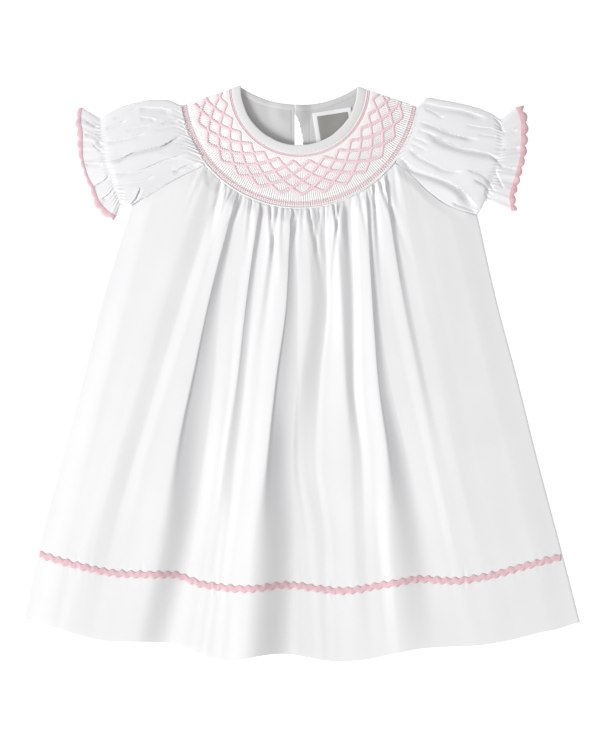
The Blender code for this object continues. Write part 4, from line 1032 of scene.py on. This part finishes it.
# %% [markdown]
# ## The skirt's surface
# The fold heights meet the height of the seam near the yoke. On them lie the gathers, a slow
# unevenness, and the hem: twice the cloth below the line of stitching, with small puckers where
# the stitches pull. Each is a layer that is added to the height, so any one can be changed alone.

# %% The skirt's cloth
BRAID_LINE = ((-222.5, -154.0), (-190.0, -163.0), (-152.0, -170.0), (-110.0, -171.0),
              (-82.0, -179.5), (-48.0, -182.5), (-14.0, -180.0), (34.0, -185.0), (74.0, -179.0),
              (101.0, -175.0), (128.0, -176.5), (158.0, -172.5), (190.0, -164.0), (221.0, -156.0))
EDGE_HEIGHT = UNDERSIDE + WALL
RAGLAN_HEIGHT = 3.9
SETTLE_OVER = 16.0  # below the seam, where the folds reach their own height
WAVE_HEIGHT, MIDDLE_WAVE_HEIGHT = 0.20, 0.16
HEM_PUCKER = 0.28
HEM_THICKER = 0.35  # the cloth turned up inside the hem
STITCH_DENT = 0.3
HEM_ROLL, HEM_ROLL_FROM = 0.25, 0.993  # the very edge turns down
LOWEST = EDGE_HEIGHT - 0.2
SEAM_TURN = 0.8  # how far the first row dips into the seam
SIDE_TURN = ((0.45, 0.35), (0.70, 0.95), (0.70, 1.5))  # out and down past each side


def stitching_y(x):
    """The line of hem stitching, which the braid covers."""
    xs, ys = zip(*BRAID_LINE)
    return smooth_through(xs, ys, np.clip(x, xs[0] - 10, xs[-1] + 12))


def turned_side(edge, way):
    """Columns that turn the cloth down past one of its sides."""
    return np.stack([edge + np.array([way * out, 0.0, -down]) for out, down in SIDE_TURN], axis=1)


# Along the seams the cloth is held at their height, and the folds settle below them.
on_yoke = (seam_x > arc_end("left")[0]) & (seam_x < arc_end("right")[0])
edge = np.minimum(seam_x - FOLDS[0].seam_x, FOLDS[-1].seam_x - seam_x)
seam_z = np.where(on_yoke, yoke_edge_height(seam_x), RAGLAN_HEIGHT)
seam_z = EDGE_HEIGHT + (seam_z - EDGE_HEIGHT) * smooth_step(edge / 12.0)
z = seam_z + (z - seam_z) * smooth_step((away + 3.0) / SETTLE_OVER)

# The gathers are under the yoke alone.
near_yoke = smooth_step((seam_x + 96) / 16.0) * smooth_step((94 - seam_x) / 16.0)
z += gather_height(seam_x, np.maximum(away, 0.0)) * near_yoke

# A slow unevenness goes all over, and a finer one down the middle.
z += WAVE_HEIGHT * uneven(0.07 * seam_x + 0.010 * away, 31) * smooth_step(away / 60.0)
in_middle = np.exp(-(seam_x / 70.0) ** 2)
z += MIDDLE_WAVE_HEIGHT * uneven(0.21 * seam_x - 0.013 * away, 33) * in_middle

# The hem puckers at its stitching, is twice as thick below it, and rolls down at its edge.
below = stitching_y(x) - y
pucker = uneven(0.85 * x, 41) * uneven(0.16 * x, 43)
z += HEM_PUCKER * pucker * np.exp(-(below / 7.0) ** 2)
z += HEM_THICKER * smooth_step((below + 1.0) / 2.5) - STITCH_DENT * np.exp(-(below / 1.5) ** 2)
z -= HEM_ROLL * smooth_step((downs[:, None] - HEM_ROLL_FROM) / (1 - HEM_ROLL_FROM))

# The first row dips into the seam, and the sides turn down to the back.
z = np.maximum(z, LOWEST)
z[0] -= SEAM_TURN
grid = np.dstack([x, y, z])
left_turn, right_turn = turned_side(grid[:, 0], -1.0), turned_side(grid[:, -1], 1.0)
grid = np.concatenate([left_turn[:, ::-1], grid, right_turn], axis=1)
skirt_front = sheet_piece("skirt_front", grid, cotton, ["front_panel"], thick=0.42)

# %% [markdown]
# ## Wavy braid on the hem
# Ric-rac is a woven braid whose edges wave from side to side. It's sewn on over the hem stitching
# and follows every fold. Rays shot straight down find the cloth under it, so that it lies on the
# cloth and doesn't sink in or float.

# %% The hem braid
BRAID_WAVES = 58
STEPS_A_WAVE = 14
BRAID_SWING = 0.8
HALF_WIDTH, WIDTH_CHANGE = 2.75, 0.2
BRAID_ACROSS = np.array([-1.0, -0.8, 0.0, 0.8, 1.0])  # in half widths
BRAID_BULGE = np.array([0.12, 0.42, 0.55, 0.42, 0.12])
BRAID_TOP, BRAID_BOTTOM = 0.08, 0.04  # above the cloth, before the bulge
BRAID_DROP = 0.8  # the most that it follows the cloth down from one step to the next
RAYS_FROM = 0.1  # metres above the floor


def cloth_levels(tree, plan):
    """Height of the cloth under each plan point."""
    levels = np.empty(plan.shape[:-1])
    for spot in np.ndindex(levels.shape):
        start = Vector((*(plan[spot] * MM), RAYS_FROM))
        hit = tree.ray_cast(start, Vector((0, 0, -1)))[0]
        levels[spot] = hit.z / MM if hit else 0.0
    return levels


tree = BVHTree.FromObject(skirt_front, bpy.context.evaluated_depsgraph_get())
run = np.linspace(BRAID_LINE[0][0], BRAID_LINE[-1][0], BRAID_WAVES * STEPS_A_WAVE + 1)
swing = BRAID_SWING * np.sin(2 * math.pi * BRAID_WAVES * (run - run[0]) / (run[-1] - run[0])
                             + 0.35 * uneven(0.11 * run, 51))
middle = stitching_y(run) + swing
half_width = HALF_WIDTH + WIDTH_CHANGE * uneven(0.4 * run, 53)
plan = np.dstack([run[:, None] + 0 * BRAID_ACROSS,
                  middle[:, None] + half_width[:, None] * BRAID_ACROSS])
levels = cloth_levels(tree, plan)
beside = np.maximum(np.roll(levels, 1, 0), np.roll(levels, -1, 0))
levels = np.maximum(levels, beside - BRAID_DROP)
top = np.dstack([plan, levels + BRAID_TOP + BRAID_BULGE])
bottom = np.dstack([plan, levels + BRAID_BOTTOM])[:, ::-1]
rod_piece("hem_braid", np.concatenate([top, bottom[:, 1:-1]], axis=1), pink_braid,
          ["hem_ricrac"])

# %% [markdown]
# ## The back of the skirt
# The back lies flat on the surface under the front. Only its outline and a faint unevenness show,
# from below or through the openings, so a plain grid is enough.

# %% The back skirt
BACK_INSET = 0.5  # inside the front's sides
BACK_SHORTER = 2.0
SKIRT_BACK_LEVEL = 0.50
BACK_GATHER, BACK_GATHER_LENGTH = 0.22, 18.0
SIDE_LIFT, SIDE_LIFT_WIDTH = 0.6, 1.5  # where the side seam turns up to the front
downs = np.linspace(0.0, 1.0, 60)
shares = np.linspace(0.0, 1.0, 150)
line_x = fold_tracks(downs)[0]
left, right = line_x[:, :1] + BACK_INSET, line_x[:, -1:] - BACK_INSET
seam_x = FOLDS[0].seam_x + (FOLDS[-1].seam_x - FOLDS[0].seam_x) * shares
hem_x = FOLDS[0].hem_x + (FOLDS[-1].hem_x - FOLDS[0].hem_x) * shares
length = seam_y(seam_x) - hem_y(hem_x)
away = length * downs[:, None]
x = left + (right - left) * shares
y = seam_y(seam_x) - (length - BACK_SHORTER) * downs[:, None]
gathers = (1 + uneven(1.1 * seam_x, 61)) * np.exp(-away / BACK_GATHER_LENGTH)
rim = np.minimum(shares, 1 - shares) * 300  # about how far in from the side
z = SKIRT_BACK_LEVEL + BACK_GATHER * gathers + SIDE_LIFT * np.exp(-rim / SIDE_LIFT_WIDTH)
skirt_back = sheet_piece("skirt_back", np.dstack([x, y, z]), cotton, ["back_panel"],
                         thick=0.45)

# %% [markdown]
# ## Puffed sleeves
# Each sleeve is a short tube. It's gathered into the yoke at one end and drawn in by elastic near
# the other, and beyond the elastic it runs on as a ruffle. Laid flat, it has a puffed upper side
# and a flat under side. The plan is a patch between four lines: the seam, the cuff, and the two
# sides. All the lines run from the underarm up, but for the top one, which runs from the yoke out.

# %% Sleeve lines
FACING = {"left": -1.0, "right": 1.0}
CUFF_LINE = {
    "left": ((-153.9, 144.5), (-156.4, 151.7), (-161.9, 168.7), (-165.8, 178.9), (-168.3, 195.1),
             (-170.9, 216.8)),
    "right": ((157.3, 147.5), (160.7, 158.5), (166.2, 174.7), (170.0, 193.4), (170.0, 216.0)),
}
RUFFLE_EDGE = {
    "left": ((-157.8, 133.5), (-163.2, 136.6), (-171.7, 145.8), (-176.8, 158.5), (-181.9, 168.2),
             (-186.0, 185.7), (-186.2, 202.7), (-188.0, 215.5), (-187.2, 226.5)),
    "right": ((179.4, 138.0), (177.6, 150.0), (181.0, 162.8), (184.5, 175.5), (187.0, 188.3),
              (187.4, 212.1), (183.0, 226.8)),
}
SLEEVE_TOP = {
    "left": ((-104.9, 227.0), (-113.9, 232.6), (-126.7, 232.8), (-141.4, 230.4), (-156.1, 225.7),
             (-165.8, 220.6), (-170.9, 216.8)),
    "right": ((101.4, 226.3), (108.0, 234.6), (121.6, 232.5), (135.2, 229.9), (148.8, 226.5),
              (162.4, 221.0), (170.0, 216.0)),
}
# Heights of the puff from the seam (0) to the cuff (1), and of the ruffle from there to its edge.
PUFF = {"left": ((0.0, 0.0), (0.04, 0.8), (0.1, 1.6), (0.25, 3.2), (0.45, 4.6), (0.7, 5.4),
                 (0.88, 5.4), (1.0, 5.0)),
        "right": ((0.0, 0.0), (0.04, 0.6), (0.1, 1.3), (0.25, 2.7), (0.45, 4.0), (0.65, 4.7),
                  (0.85, 4.6), (1.0, 4.2))}
RUFFLE_PUFF = {"left": ((0.0, 5.0), (0.4, 4.2), (1.0, 3.2)),
               "right": ((0.0, 4.2), (0.4, 3.6), (1.0, 2.5))}
# How soon the puff rises from the lower side and from the top: less is sooner.
LOW_SIDE, HIGH_SIDE = {"left": 0.3, "right": 0.25}, 0.6
# Height of the elastic's puckers, from the underarm (0) to the top (1).
SHIRRING = {"left": ((0.0, 0.9), (0.14, 0.9), (0.3, 0.35), (0.7, 0.25), (0.85, 0.55), (1.0, 0.5)),
            "right": ((0.0, 0.3), (0.25, 0.55), (0.45, 0.4), (0.7, 0.3), (0.9, 0.6), (1.0, 0.6))}
print("cuffs have", [len(line) for line in CUFF_LINE.values()], "points")

# %% [markdown]
# ## Creases
# A sleeve's creases are few and long, and every one is different, so they are drawn as lines on
# the plan. Noise would be quicker, but its creases all look alike. Each is pressed into the cloth
# as a valley with one soft side and one steep side, and the cloth above the steep side leans over
# it as a flat lip. A row is the valley's depth, how wide its soft side is, how high the lip stands,
# as a share of the depth, and the line. The steep side is on the line's left.

# %% Creases drawn on the plan
Crease = namedtuple("Crease", "depth soft lip points")
CREASES = {
    "left": [Crease(*row) for row in (
        (0.97, 2.3, 0.3, ((-161.6, 216.8), (-148.6, 221.7), (-137.2, 227.7))),
        (1.7, 3.9, 0.3, ((-139, 224.8), (-131.8, 226.5), (-119.8, 226.1), (-108.8, 223.3))),
        (0.83, 2.1, 0.36, ((-167.4, 208.2), (-163.2, 209.5), (-155.0, 212.7), (-148.6, 216.0))),
        (1.1, 2.5, 0.3, ((-168.0, 196.4), (-155.0, 198.9), (-143.7, 201.3), (-131.5, 204.6))),
        (2.4, 2.8, 0.24, ((-165.8, 181.0), (-155.0, 182.3), (-143.7, 187.5), (-133.1, 190.0),
            (-119.3, 193.2), (-108.8, 198.9), (-98.9, 203.0))),
        (1.2, 2.8, 0.3, ((-160.7, 168.7), (-156.7, 169.6), (-145.3, 171.3), (-135.6, 173.2),
            (-127.5, 176.4), (-119.3, 180.2), (-107.1, 184.0), (-94.9, 186.7))),
        (0.67, 2.3, 0.3, ((-158.9, 159.4), (-155.0, 159.9), (-143.7, 162.3), (-133.1, 164.7),
            (-124.1, 168.7))),
        (1.5, 1.8, 0.24, ((-145.3, 142.6), (-142.9, 146.0), (-140.6, 150.4), (-138.4, 154.8),
            (-136.0, 158.5))),
        (0.83, 3.4, 0.12, ((-142.8, 144.5), (-136.0, 148.3), (-127.5, 151.7), (-119.3, 156.6),
            (-111.3, 161.1))),
        (1.5, 2.8, 0.24, ((-110.0, 171.4), (-104.2, 173.8), (-98.9, 176.7), (-91.0, 178.5),
            (-85.8, 179.3))),
        (1.1, 1.8, 0.36, ((-119.3, 212.7), (-112.8, 214.7), (-104, 215.6))),
        (0.83, 2.1, 0.36, ((-137.2, 217.6), (-127.5, 217.2), (-122.6, 214.3))),
        (0.55, 1.7, 0.3, ((-126, 206.5), (-114, 209.5), (-101, 211.5))),
        (0.55, 1.7, 0.3, ((-122, 187.5), (-108, 191.5), (-95.5, 195))),
        (0.55, 1.8, 0.3, ((-150, 206.5), (-138, 209.5), (-127, 211))),
        # on the ruffle
        (1.5, 1.8, 0.42, ((-182.5, 215.6), (-176, 212), (-172.2, 209.6))),
        (2, 2.3, 0.42, ((-184.5, 204.2), (-177.5, 203.4), (-172.0, 199.8), (-168.0, 194.6))),
        (1.2, 1.7, 0.36, ((-176.4, 195.8), (-172, 191.8), (-168.2, 189.1))),
        (1.2, 2.5, 0.36, ((-184.0, 178.4), (-174.5, 178.3), (-168, 178.8))),
        (1.5, 2.5, 0.36, ((-179.2, 157.6), (-172.5, 161.2), (-168.0, 164), (-162.6, 168.6))),
        (1.1, 2.3, 0.3, ((-169.5, 148.2), (-165.5, 151.5), (-160.5, 154.5))))],
    "right": [Crease(*row) for row in (
        (3.1, 3.6, 0.05, ((98.0, 229.6), (108.0, 229.5), (120.5, 227.4), (136.8, 224.5),
            (149.0, 220.8), (158.8, 216.3))),
        (1.4, 1.8, 0.05, ((104.4, 225.6), (110.5, 224.1), (116.5, 220.8), (122.1, 216.8))),
        (2.6, 2.5, 0.05, ((99.3, 214.2), (107, 212.7), (114.8, 210.4), (125.5, 205.4),
            (136.8, 202.1), (152.0, 198.9))),
        (4.3, 4.2, 0.05, ((106.9, 206.6), (115, 201.5), (124.6, 196.4), (136.8, 192.4),
            (149.0, 190.0), (161.2, 187.5), (171.3, 182.4))),
        (2.3, 2.5, 0.05, ((89.9, 192.8), (104.3, 182.6), (114.8, 177.7), (123.0, 173.7),
            (138.2, 171.3))),
        (5.9, 4.7, 0.05, ((82.4, 184.6), (96.0, 176.1), (108.4, 171.3), (120.5, 166.3),
            (132.8, 159.9), (140.1, 153.3), (150.9, 140.1))),
        (2, 2.1, 0.05, ((128.5, 146.0), (140.2, 141.9), (151.0, 137.7))),
        (2, 1.8, 0.05, ((146.8, 165.7), (157.2, 159.9), (162.2, 152.4))),
        (1.7, 1.8, 0.05, ((140.9, 174.1), (157.2, 168.0), (163.0, 160.5))),
        (1.8, 1.6, 0.05, ((159.2, 187.9), (166.6, 181.5), (172.7, 175.1))),
        (0.66, 1.6, 0.15, ((150, 203.5), (158, 202.5), (167, 201.5))),
        (0.66, 1.8, 0.15, ((140, 211.5), (152, 209.5), (165, 208.5))),
        (0.79, 1.6, 0.15, ((99, 207.5), (107, 205.2), (114, 201.5))),
        (0.79, 1.5, 0.15, ((95, 201.0), (103, 198.5), (110, 194.5))),
        (0.66, 1.5, 0.15, ((93, 196.5), (101, 193.0), (108, 188.5))),
        # on the ruffle
        (2, 2, 0.18, ((168.5, 215.5), (174.5, 220.5), (181.5, 226.0))),
        (0.92, 2, 0.15, ((170.5, 203.5), (177.0, 206.0), (184.0, 207.5))),
        (1.2, 2.6, 0.15, ((170.5, 190.6), (177.5, 192.4), (186.5, 193.2))),
        (0.79, 2, 0.15, ((165.0, 174.0), (168.5, 166.0), (173.5, 156.5))),
        (0.92, 2, 0.15, ((168.0, 178.0), (174.0, 175.5), (182.5, 174.5))),
        (1.2, 1.3, 0.15, ((163.5, 218.5), (168.5, 214.5), (172.5, 208.0))),
        (0.92, 1.2, 0.15, ((165.0, 213.0), (169.0, 209.5), (173.5, 205.0))),
        (1.1, 1.4, 0.18, ((156.0, 167.5), (161.5, 162.0), (166.0, 154.0))),
        (0.92, 1.2, 0.18, ((160.5, 159.0), (157.0, 153.5), (161.0, 149.5), (167.5, 150.5))))],
}

# %% Pressing a crease
CREASE_STEPS = 24
STEEP_SIDE = 0.8
LIP_REACH, LEAN_REACH = 2.5, 5.0  # how far back from the valley the lip stands up and leans
MOST_LEAN, LEAN_SHARE = 1.6, 0.8  # a lip leans by a share of its valley's depth
CREASE_END = 0.22  # of its length, over which a crease begins and ends


def distance_to(plan, points):
    """Signed distance of plan points to a line (+ on its left), the share along it, its left."""
    line = along_line(points, np.linspace(0, 1, CREASE_STEPS))
    best = np.full(plan.shape[:-1], np.inf)
    signed, share, lefts = np.zeros_like(best), np.zeros_like(best), np.zeros_like(plan)
    for index, (start, end) in enumerate(zip(line[:-1], line[1:])):
        way = end - start
        length = np.linalg.norm(way)
        away = plan - start
        spot = np.clip((away @ way) / length**2, 0.0, 1.0)
        gap = np.linalg.norm(away - spot[..., None] * way, axis=-1)
        nearer = gap < best
        side = np.sign(way[0] * away[..., 1] - way[1] * away[..., 0])
        best = np.where(nearer, gap, best)
        signed = np.where(nearer, gap * side, signed)
        share = np.where(nearer, (index + spot) / (len(line) - 1), share)
        lefts[nearer] = np.array((-way[1], way[0])) / length
    return signed, share, lefts


def crease_cloth(plan, creases):
    """What creases add to the height, and how far their lips lean over the valleys."""
    total, lean = np.zeros(plan.shape[:-1]), np.zeros_like(plan)
    for crease in creases:
        away, share, left = distance_to(plan, crease.points)
        top = smooth_step(away / STEEP_SIDE)
        valley = np.where(away > 0, 1 - top, np.exp(-(away / crease.soft) ** 2))
        lip = crease.lip * top * np.exp(-(away.clip(0) / LIP_REACH) ** 2)
        fade = smooth_step(share / CREASE_END) * smooth_step((1 - share) / CREASE_END)
        total += crease.depth * (lip - valley) * fade
        over = top * np.exp(-(away.clip(0) / LEAN_REACH) ** 2) * fade
        lean -= (min(MOST_LEAN, LEAN_SHARE * crease.depth) * over)[..., None] * left
    return total, lean


print({side: len(creases) for side, creases in CREASES.items()}, "creases")

# %% [markdown]
# ## The sleeves' cloth
# The plan comes first, as rows from the yoke out to the ruffle's edge. The heights are built up on
# it in layers: the puff, then the fine puckers where the elastic is sewn in, the ruffle's flutes,
# the gathers at the yoke, and the creases. The sheet goes on round under the sleeve to close the
# tube.

# %% A sleeve's plan
SLEEVE_COLUMNS = 170
END_POINTS = 60  # on each of the two parts of the inner end
RAGLAN_GAP = 0.3  # between the sleeve and the skirt
YOKE_LAP, LAP_OVER = 3.0, 0.15  # over the yoke's rim, and the share of the arc that it grows in
PUFF_ROWS, RUFFLE_ROWS = 92, 26
CLOSER = 0.10  # rows stand closer at the seam and at the cuff
sleeve_shares = np.linspace(0.0, 1.0, SLEEVE_COLUMNS)
even = np.linspace(0.0, 1.0, PUFF_ROWS)
puff_shares = even - CLOSER * np.sin(2 * math.pi * even)
ruffle_shares = np.linspace(0.0, 1.0, RUFFLE_ROWS + 1)[1:]


def body_end(side):
    """Even plan points of a sleeve's inner end, and the share of it that is raglan seam."""
    mark = arc_end(side)
    outer = FOLDS[0].seam_x if side == "left" else FOLDS[-1].seam_x
    xs = np.linspace(outer, mark[0], END_POINTS)
    raglan = np.column_stack([xs, seam_y(xs)])
    raglan = raglan + plan_normals(raglan) * FACING[side] * RAGLAN_GAP
    start = math.atan2(YOKE_CENTRE[1] - mark[1], YOKE_CENTRE[0] - mark[0])
    end = float(yoke_angle(side, PANEL_RADIUS))
    lap = YOKE_LAP * smooth_step(np.linspace(0.0, 1.0, END_POINTS) / LAP_OVER)
    arc = on_ring(np.linspace(start, end, END_POINTS), PANEL_RADIUS - lap)
    line = np.vstack([raglan[:-1], arc])
    lengths = line_lengths(line)
    return points_at(line, sleeve_shares * lengths[-1]), lengths[len(raglan) - 2] / lengths[-1]


def sleeve_plan(side, inner):
    """Plan of every row of the upper side, from the inner end out."""
    cuff = along_line(CUFF_LINE[side], sleeve_shares)
    edge = along_line(RUFFLE_EDGE[side], sleeve_shares)
    top_line = np.array(SLEEVE_TOP[side])
    top_line[0] = inner[-1]
    rows = []
    for down in puff_shares:
        ruled = inner + (cuff - inner) * down
        shift = along_line(top_line, down) - ruled[-1]
        rows.append(ruled + sleeve_shares[:, None] * shift)
    rows += [cuff + (edge - cuff) * out for out in ruffle_shares]
    return np.array(rows)


print("raglan seam's share", {side: round(float(body_end(side)[1]), 2) for side in FACING})

# %% A sleeve's heights
SLEEVE_LIFT = 0.5
SEAM_TURN_SHARE = 0.12  # of the inner end, over which raglan seam becomes yoke seam
PUCKER_LENGTH, PUCKER_WANDER = 2.7, 1.8  # of the elastic's puckers
ELASTIC_DENT = 0.5
FLUTE_HEIGHT = 1.1
GATHER_HEIGHT, GATHER_REACH = 0.7, 9.0
SEAM_RIDGE = 0.25
SLEEVE_WAVE = 0.35
SLEEVE_LOWEST = 1.9
SIDE_FADE = 0.08  # the share at each side over which the creases' lean begins


def sleeve_surface(side, seed):
    """The grid of a sleeve's upper side, and its plan from before the creases' lips leaned."""
    inner, raglan_share = body_end(side)
    plan = sleeve_plan(side, inner)
    cuff = plan[PUFF_ROWS - 1]
    down = np.concatenate([puff_shares, np.ones(RUFFLE_ROWS)])[:, None]
    out = np.concatenate([np.zeros(PUFF_ROWS), ruffle_shares])[:, None]
    cuff_away = np.linalg.norm(plan - cuff, axis=-1)
    body_away = np.linalg.norm(plan - plan[0], axis=-1)
    fullness = np.where(sleeve_shares < 0.5, LOW_SIDE[side], HIGH_SIDE)
    round_up = np.sin(math.pi * sleeve_shares) ** fullness

    # the puff, level with the seam at the inner end
    on_yoke = smooth_step((sleeve_shares - raglan_share) / SEAM_TURN_SHARE + 0.5)
    seam = RAGLAN_HEIGHT + (yoke_edge_height(plan[0, :, 0]) - RAGLAN_HEIGHT) * on_yoke
    puff = np.where(out == 0, smooth_through(*zip(*PUFF[side]), down),
                    smooth_through(*zip(*RUFFLE_PUFF[side]), out))
    held = (seam - EDGE_HEIGHT) * (1 - down) * np.minimum(1.0, 6 * round_up)
    z = EDGE_HEIGHT + SLEEVE_LIFT + held + puff * round_up

    # the elastic's puckers, and the dent of its stitching
    along = sleeve_shares * line_lengths(cuff)[-1]
    phase = 2 * math.pi * along / PUCKER_LENGTH + PUCKER_WANDER * uneven(along * 0.33, seed)
    pucker = np.sin(phase + 0.5 * uneven(0.5 * plan[..., 0], seed + 1))
    shirr = smooth_through(*zip(*SHIRRING[side]), sleeve_shares)
    z += (shirr * pucker * np.exp(-(cuff_away / (3.0 + 3.5 * shirr)) ** 2)
          - ELASTIC_DENT * np.exp(-(cuff_away / 3.0) ** 2)) * round_up

    # the ruffle's flutes
    flutes = uneven(along * 0.30, seed + 2) + 0.5 * uneven(along * 0.71, seed + 3)
    z += FLUTE_HEIGHT * flutes * (out * 0.7 + 0.25 * np.exp(-(cuff_away / 9.0) ** 2)) * round_up

    # the gathers at the yoke, few along the raglan seam, and a slow unevenness
    inner_along = sleeve_shares * line_lengths(inner)[-1]
    gather = uneven(inner_along * 1.55, seed + 4) + 0.6 * uneven(inner_along * 0.8, seed + 5)
    z += (GATHER_HEIGHT * (0.1 + 0.9 * on_yoke) * gather
          * np.exp(-(body_away / GATHER_REACH) ** 1.2) * round_up)
    z += SEAM_RIDGE * np.exp(-(body_away / 3.0) ** 2)
    z += SLEEVE_WAVE * uneven(0.16 * plan[..., 1] - 0.05 * plan[..., 0], seed + 6) * round_up

    # the creases, whose lips lean in the plan too
    creases, lean = crease_cloth(plan, CREASES[side])
    z += creases * np.minimum(1.0, 1.6 * round_up)
    inside = smooth_step(np.minimum(sleeve_shares, 1 - sleeve_shares) / SIDE_FADE)
    return np.dstack([plan + lean * inside[:, None], np.maximum(z, SLEEVE_LOWEST)]), plan


print("highest puff", {side: max(height for share, height in PUFF[side]) for side in PUFF})

# %% The sleeves
ROUND_SIDE = ((0.5, 1.5), (0.6, 1.0), (0.2, 0.45), (-1.5, 0.05))  # out and height, going down
UNDER_LEVEL = 0.03
CRISP_ANGLE = 0.9  # radians


def sleeve_tube(grid, plan):
    """Close the upper side into a tube. Its flat under side follows the plain plan."""
    rows = []
    for upper, flat in zip(grid, plan):
        sides = []
        for edge, inward in ((flat[-1], flat[-2]), (flat[0], flat[1])):
            out = (edge - inward) / np.linalg.norm(edge - inward)
            sides.append([(*(edge + out * step), level) for step, level in ROUND_SIDE])
        under = flat[6:-6:4][::-1]
        under = np.column_stack([under, np.full(len(under), UNDER_LEVEL)])
        rows.append(np.vstack([upper, sides[0], under, sides[1][::-1]]))
    return np.array(rows)


sleeves, sleeve_grids = {}, {}
for side, seed in (("left", 101), ("right", 201)):
    grid, plan = sleeve_surface(side, seed)
    sleeve_grids[side] = grid
    sleeves[side] = sheet_piece(side + "_sleeve_cloth", sleeve_tube(grid, plan), sleeve_cotton_painted_light,
                                [side + "_sleeve"], thick=0.42, ring=True,
                                seen=SLEEVE_COLUMNS - 1)
    # A crisp rim keeps the shade in a valley from spreading over the lip above it.
    sleeves[side].data.set_sharp_from_angle(angle=CRISP_ANGLE)

# %% [markdown]
# ## Braid on the sleeve ruffles
# The same wavy braid edges each ruffle, all the way round the opening. Its inner edge is hidden
# on the cloth, and only its outer edge shows its teeth, which are rounded. So one section is
# drawn across it and swept round the opening, and its width grows and shrinks with each tooth.

# %% The cuff braids
TOOTH = 8.9  # from one tooth to the next
TOOTH_ROUNDNESS = 0.8
# The width that shows, from the underarm (0) to the top (1).
BRAID_WIDTH = {"left": ((0.0, 4.2), (0.12, 5.0), (0.3, 3.4), (0.5, 2.2), (0.68, 4.4), (0.8, 4.6),
                        (1.0, 2.6)),
               "right": ((0.0, 4.6), (0.2, 5.0), (0.45, 4.4), (0.7, 5.8), (1.0, 6.4))}
NARROWEST, TOOTH_SHARE = 0.58, 0.46  # of that width, between the teeth and in them
SECTION_STEP = 0.62
UPPER_LIFT, UPPER_THICK, UPPER_SAG = 0.25, 0.85, 0.125  # on the upper side, sagging outwards
UNDER_TOP, UNDER_THICK = 0.75, 0.7  # on the under side, which lies flat


def braid_section(place, out, width, level, thick, sag=0.0):
    """A ring of points across the braid, from inside the ruffle's edge out to the tooth."""
    section = ((-0.7, 0.0), (-0.5, 0.1), (0.5 * width, 0.12), (width - 0.2, 0.0), (width, -0.45),
               (width - 0.2, -thick), (0.5 * width, -thick), (-0.6, -thick))
    return [(*(place + out * away), level + high - sag * max(away, 0)) for away, high in section]


def cuff_braid(side, seed):
    """The braid round one sleeve's opening."""
    line = sleeve_grids[side][-1]
    length = line_lengths(line[:, :2])[-1]
    at = np.arange(0.0, length, SECTION_STEP)
    edge = points_at(line, at)
    outs = plan_normals(edge[:, :2]) * FACING[side]
    tooth = np.abs(np.cos(math.pi * at / TOOTH + 0.5 * uneven(at * 0.07, seed))) ** TOOTH_ROUNDNESS
    widths = smooth_through(*zip(*BRAID_WIDTH[side]), at / length)
    widths = widths * (NARROWEST + TOOTH_SHARE * tooth)
    upper = [braid_section(place[:2], out, width, place[2] + UPPER_LIFT, UPPER_THICK, UPPER_SAG)
             for place, out, width in zip(edge, outs, widths)]
    under = [braid_section(place[:2], out, width, UNDER_TOP, UNDER_THICK)
             for place, out, width in zip(edge, outs, widths)]
    rod_piece(side + "_cuff_braid", np.array(upper + under[::-1]), pink_braid,
              [side + "_cuff_ricrac"], closed=True)


for side, seed in (("left", 301), ("right", 401)):
    cuff_braid(side, seed)

# %% [markdown]
# ## Each sheet's area
# The area of every sheet of cloth as it lies, before it gets its thickness, is printed. The
# cut is larger than what shows: the smocked cloth, for one, is about three times as wide before
# it's pleated.

# %% Cloth areas
bpy.context.view_layer.update()


def flat_area(piece):
    """Area of a piece's cloth before it gets its thickness, in square metres."""
    return sum(face.area for face in piece.data.polygons)


for piece in (skirt_front, skirt_back, smocked_yoke, back_yoke_cloth, sleeves["left"],
              sleeves["right"]):
    print(piece.name, "cloth area", round(flat_area(piece), 4))
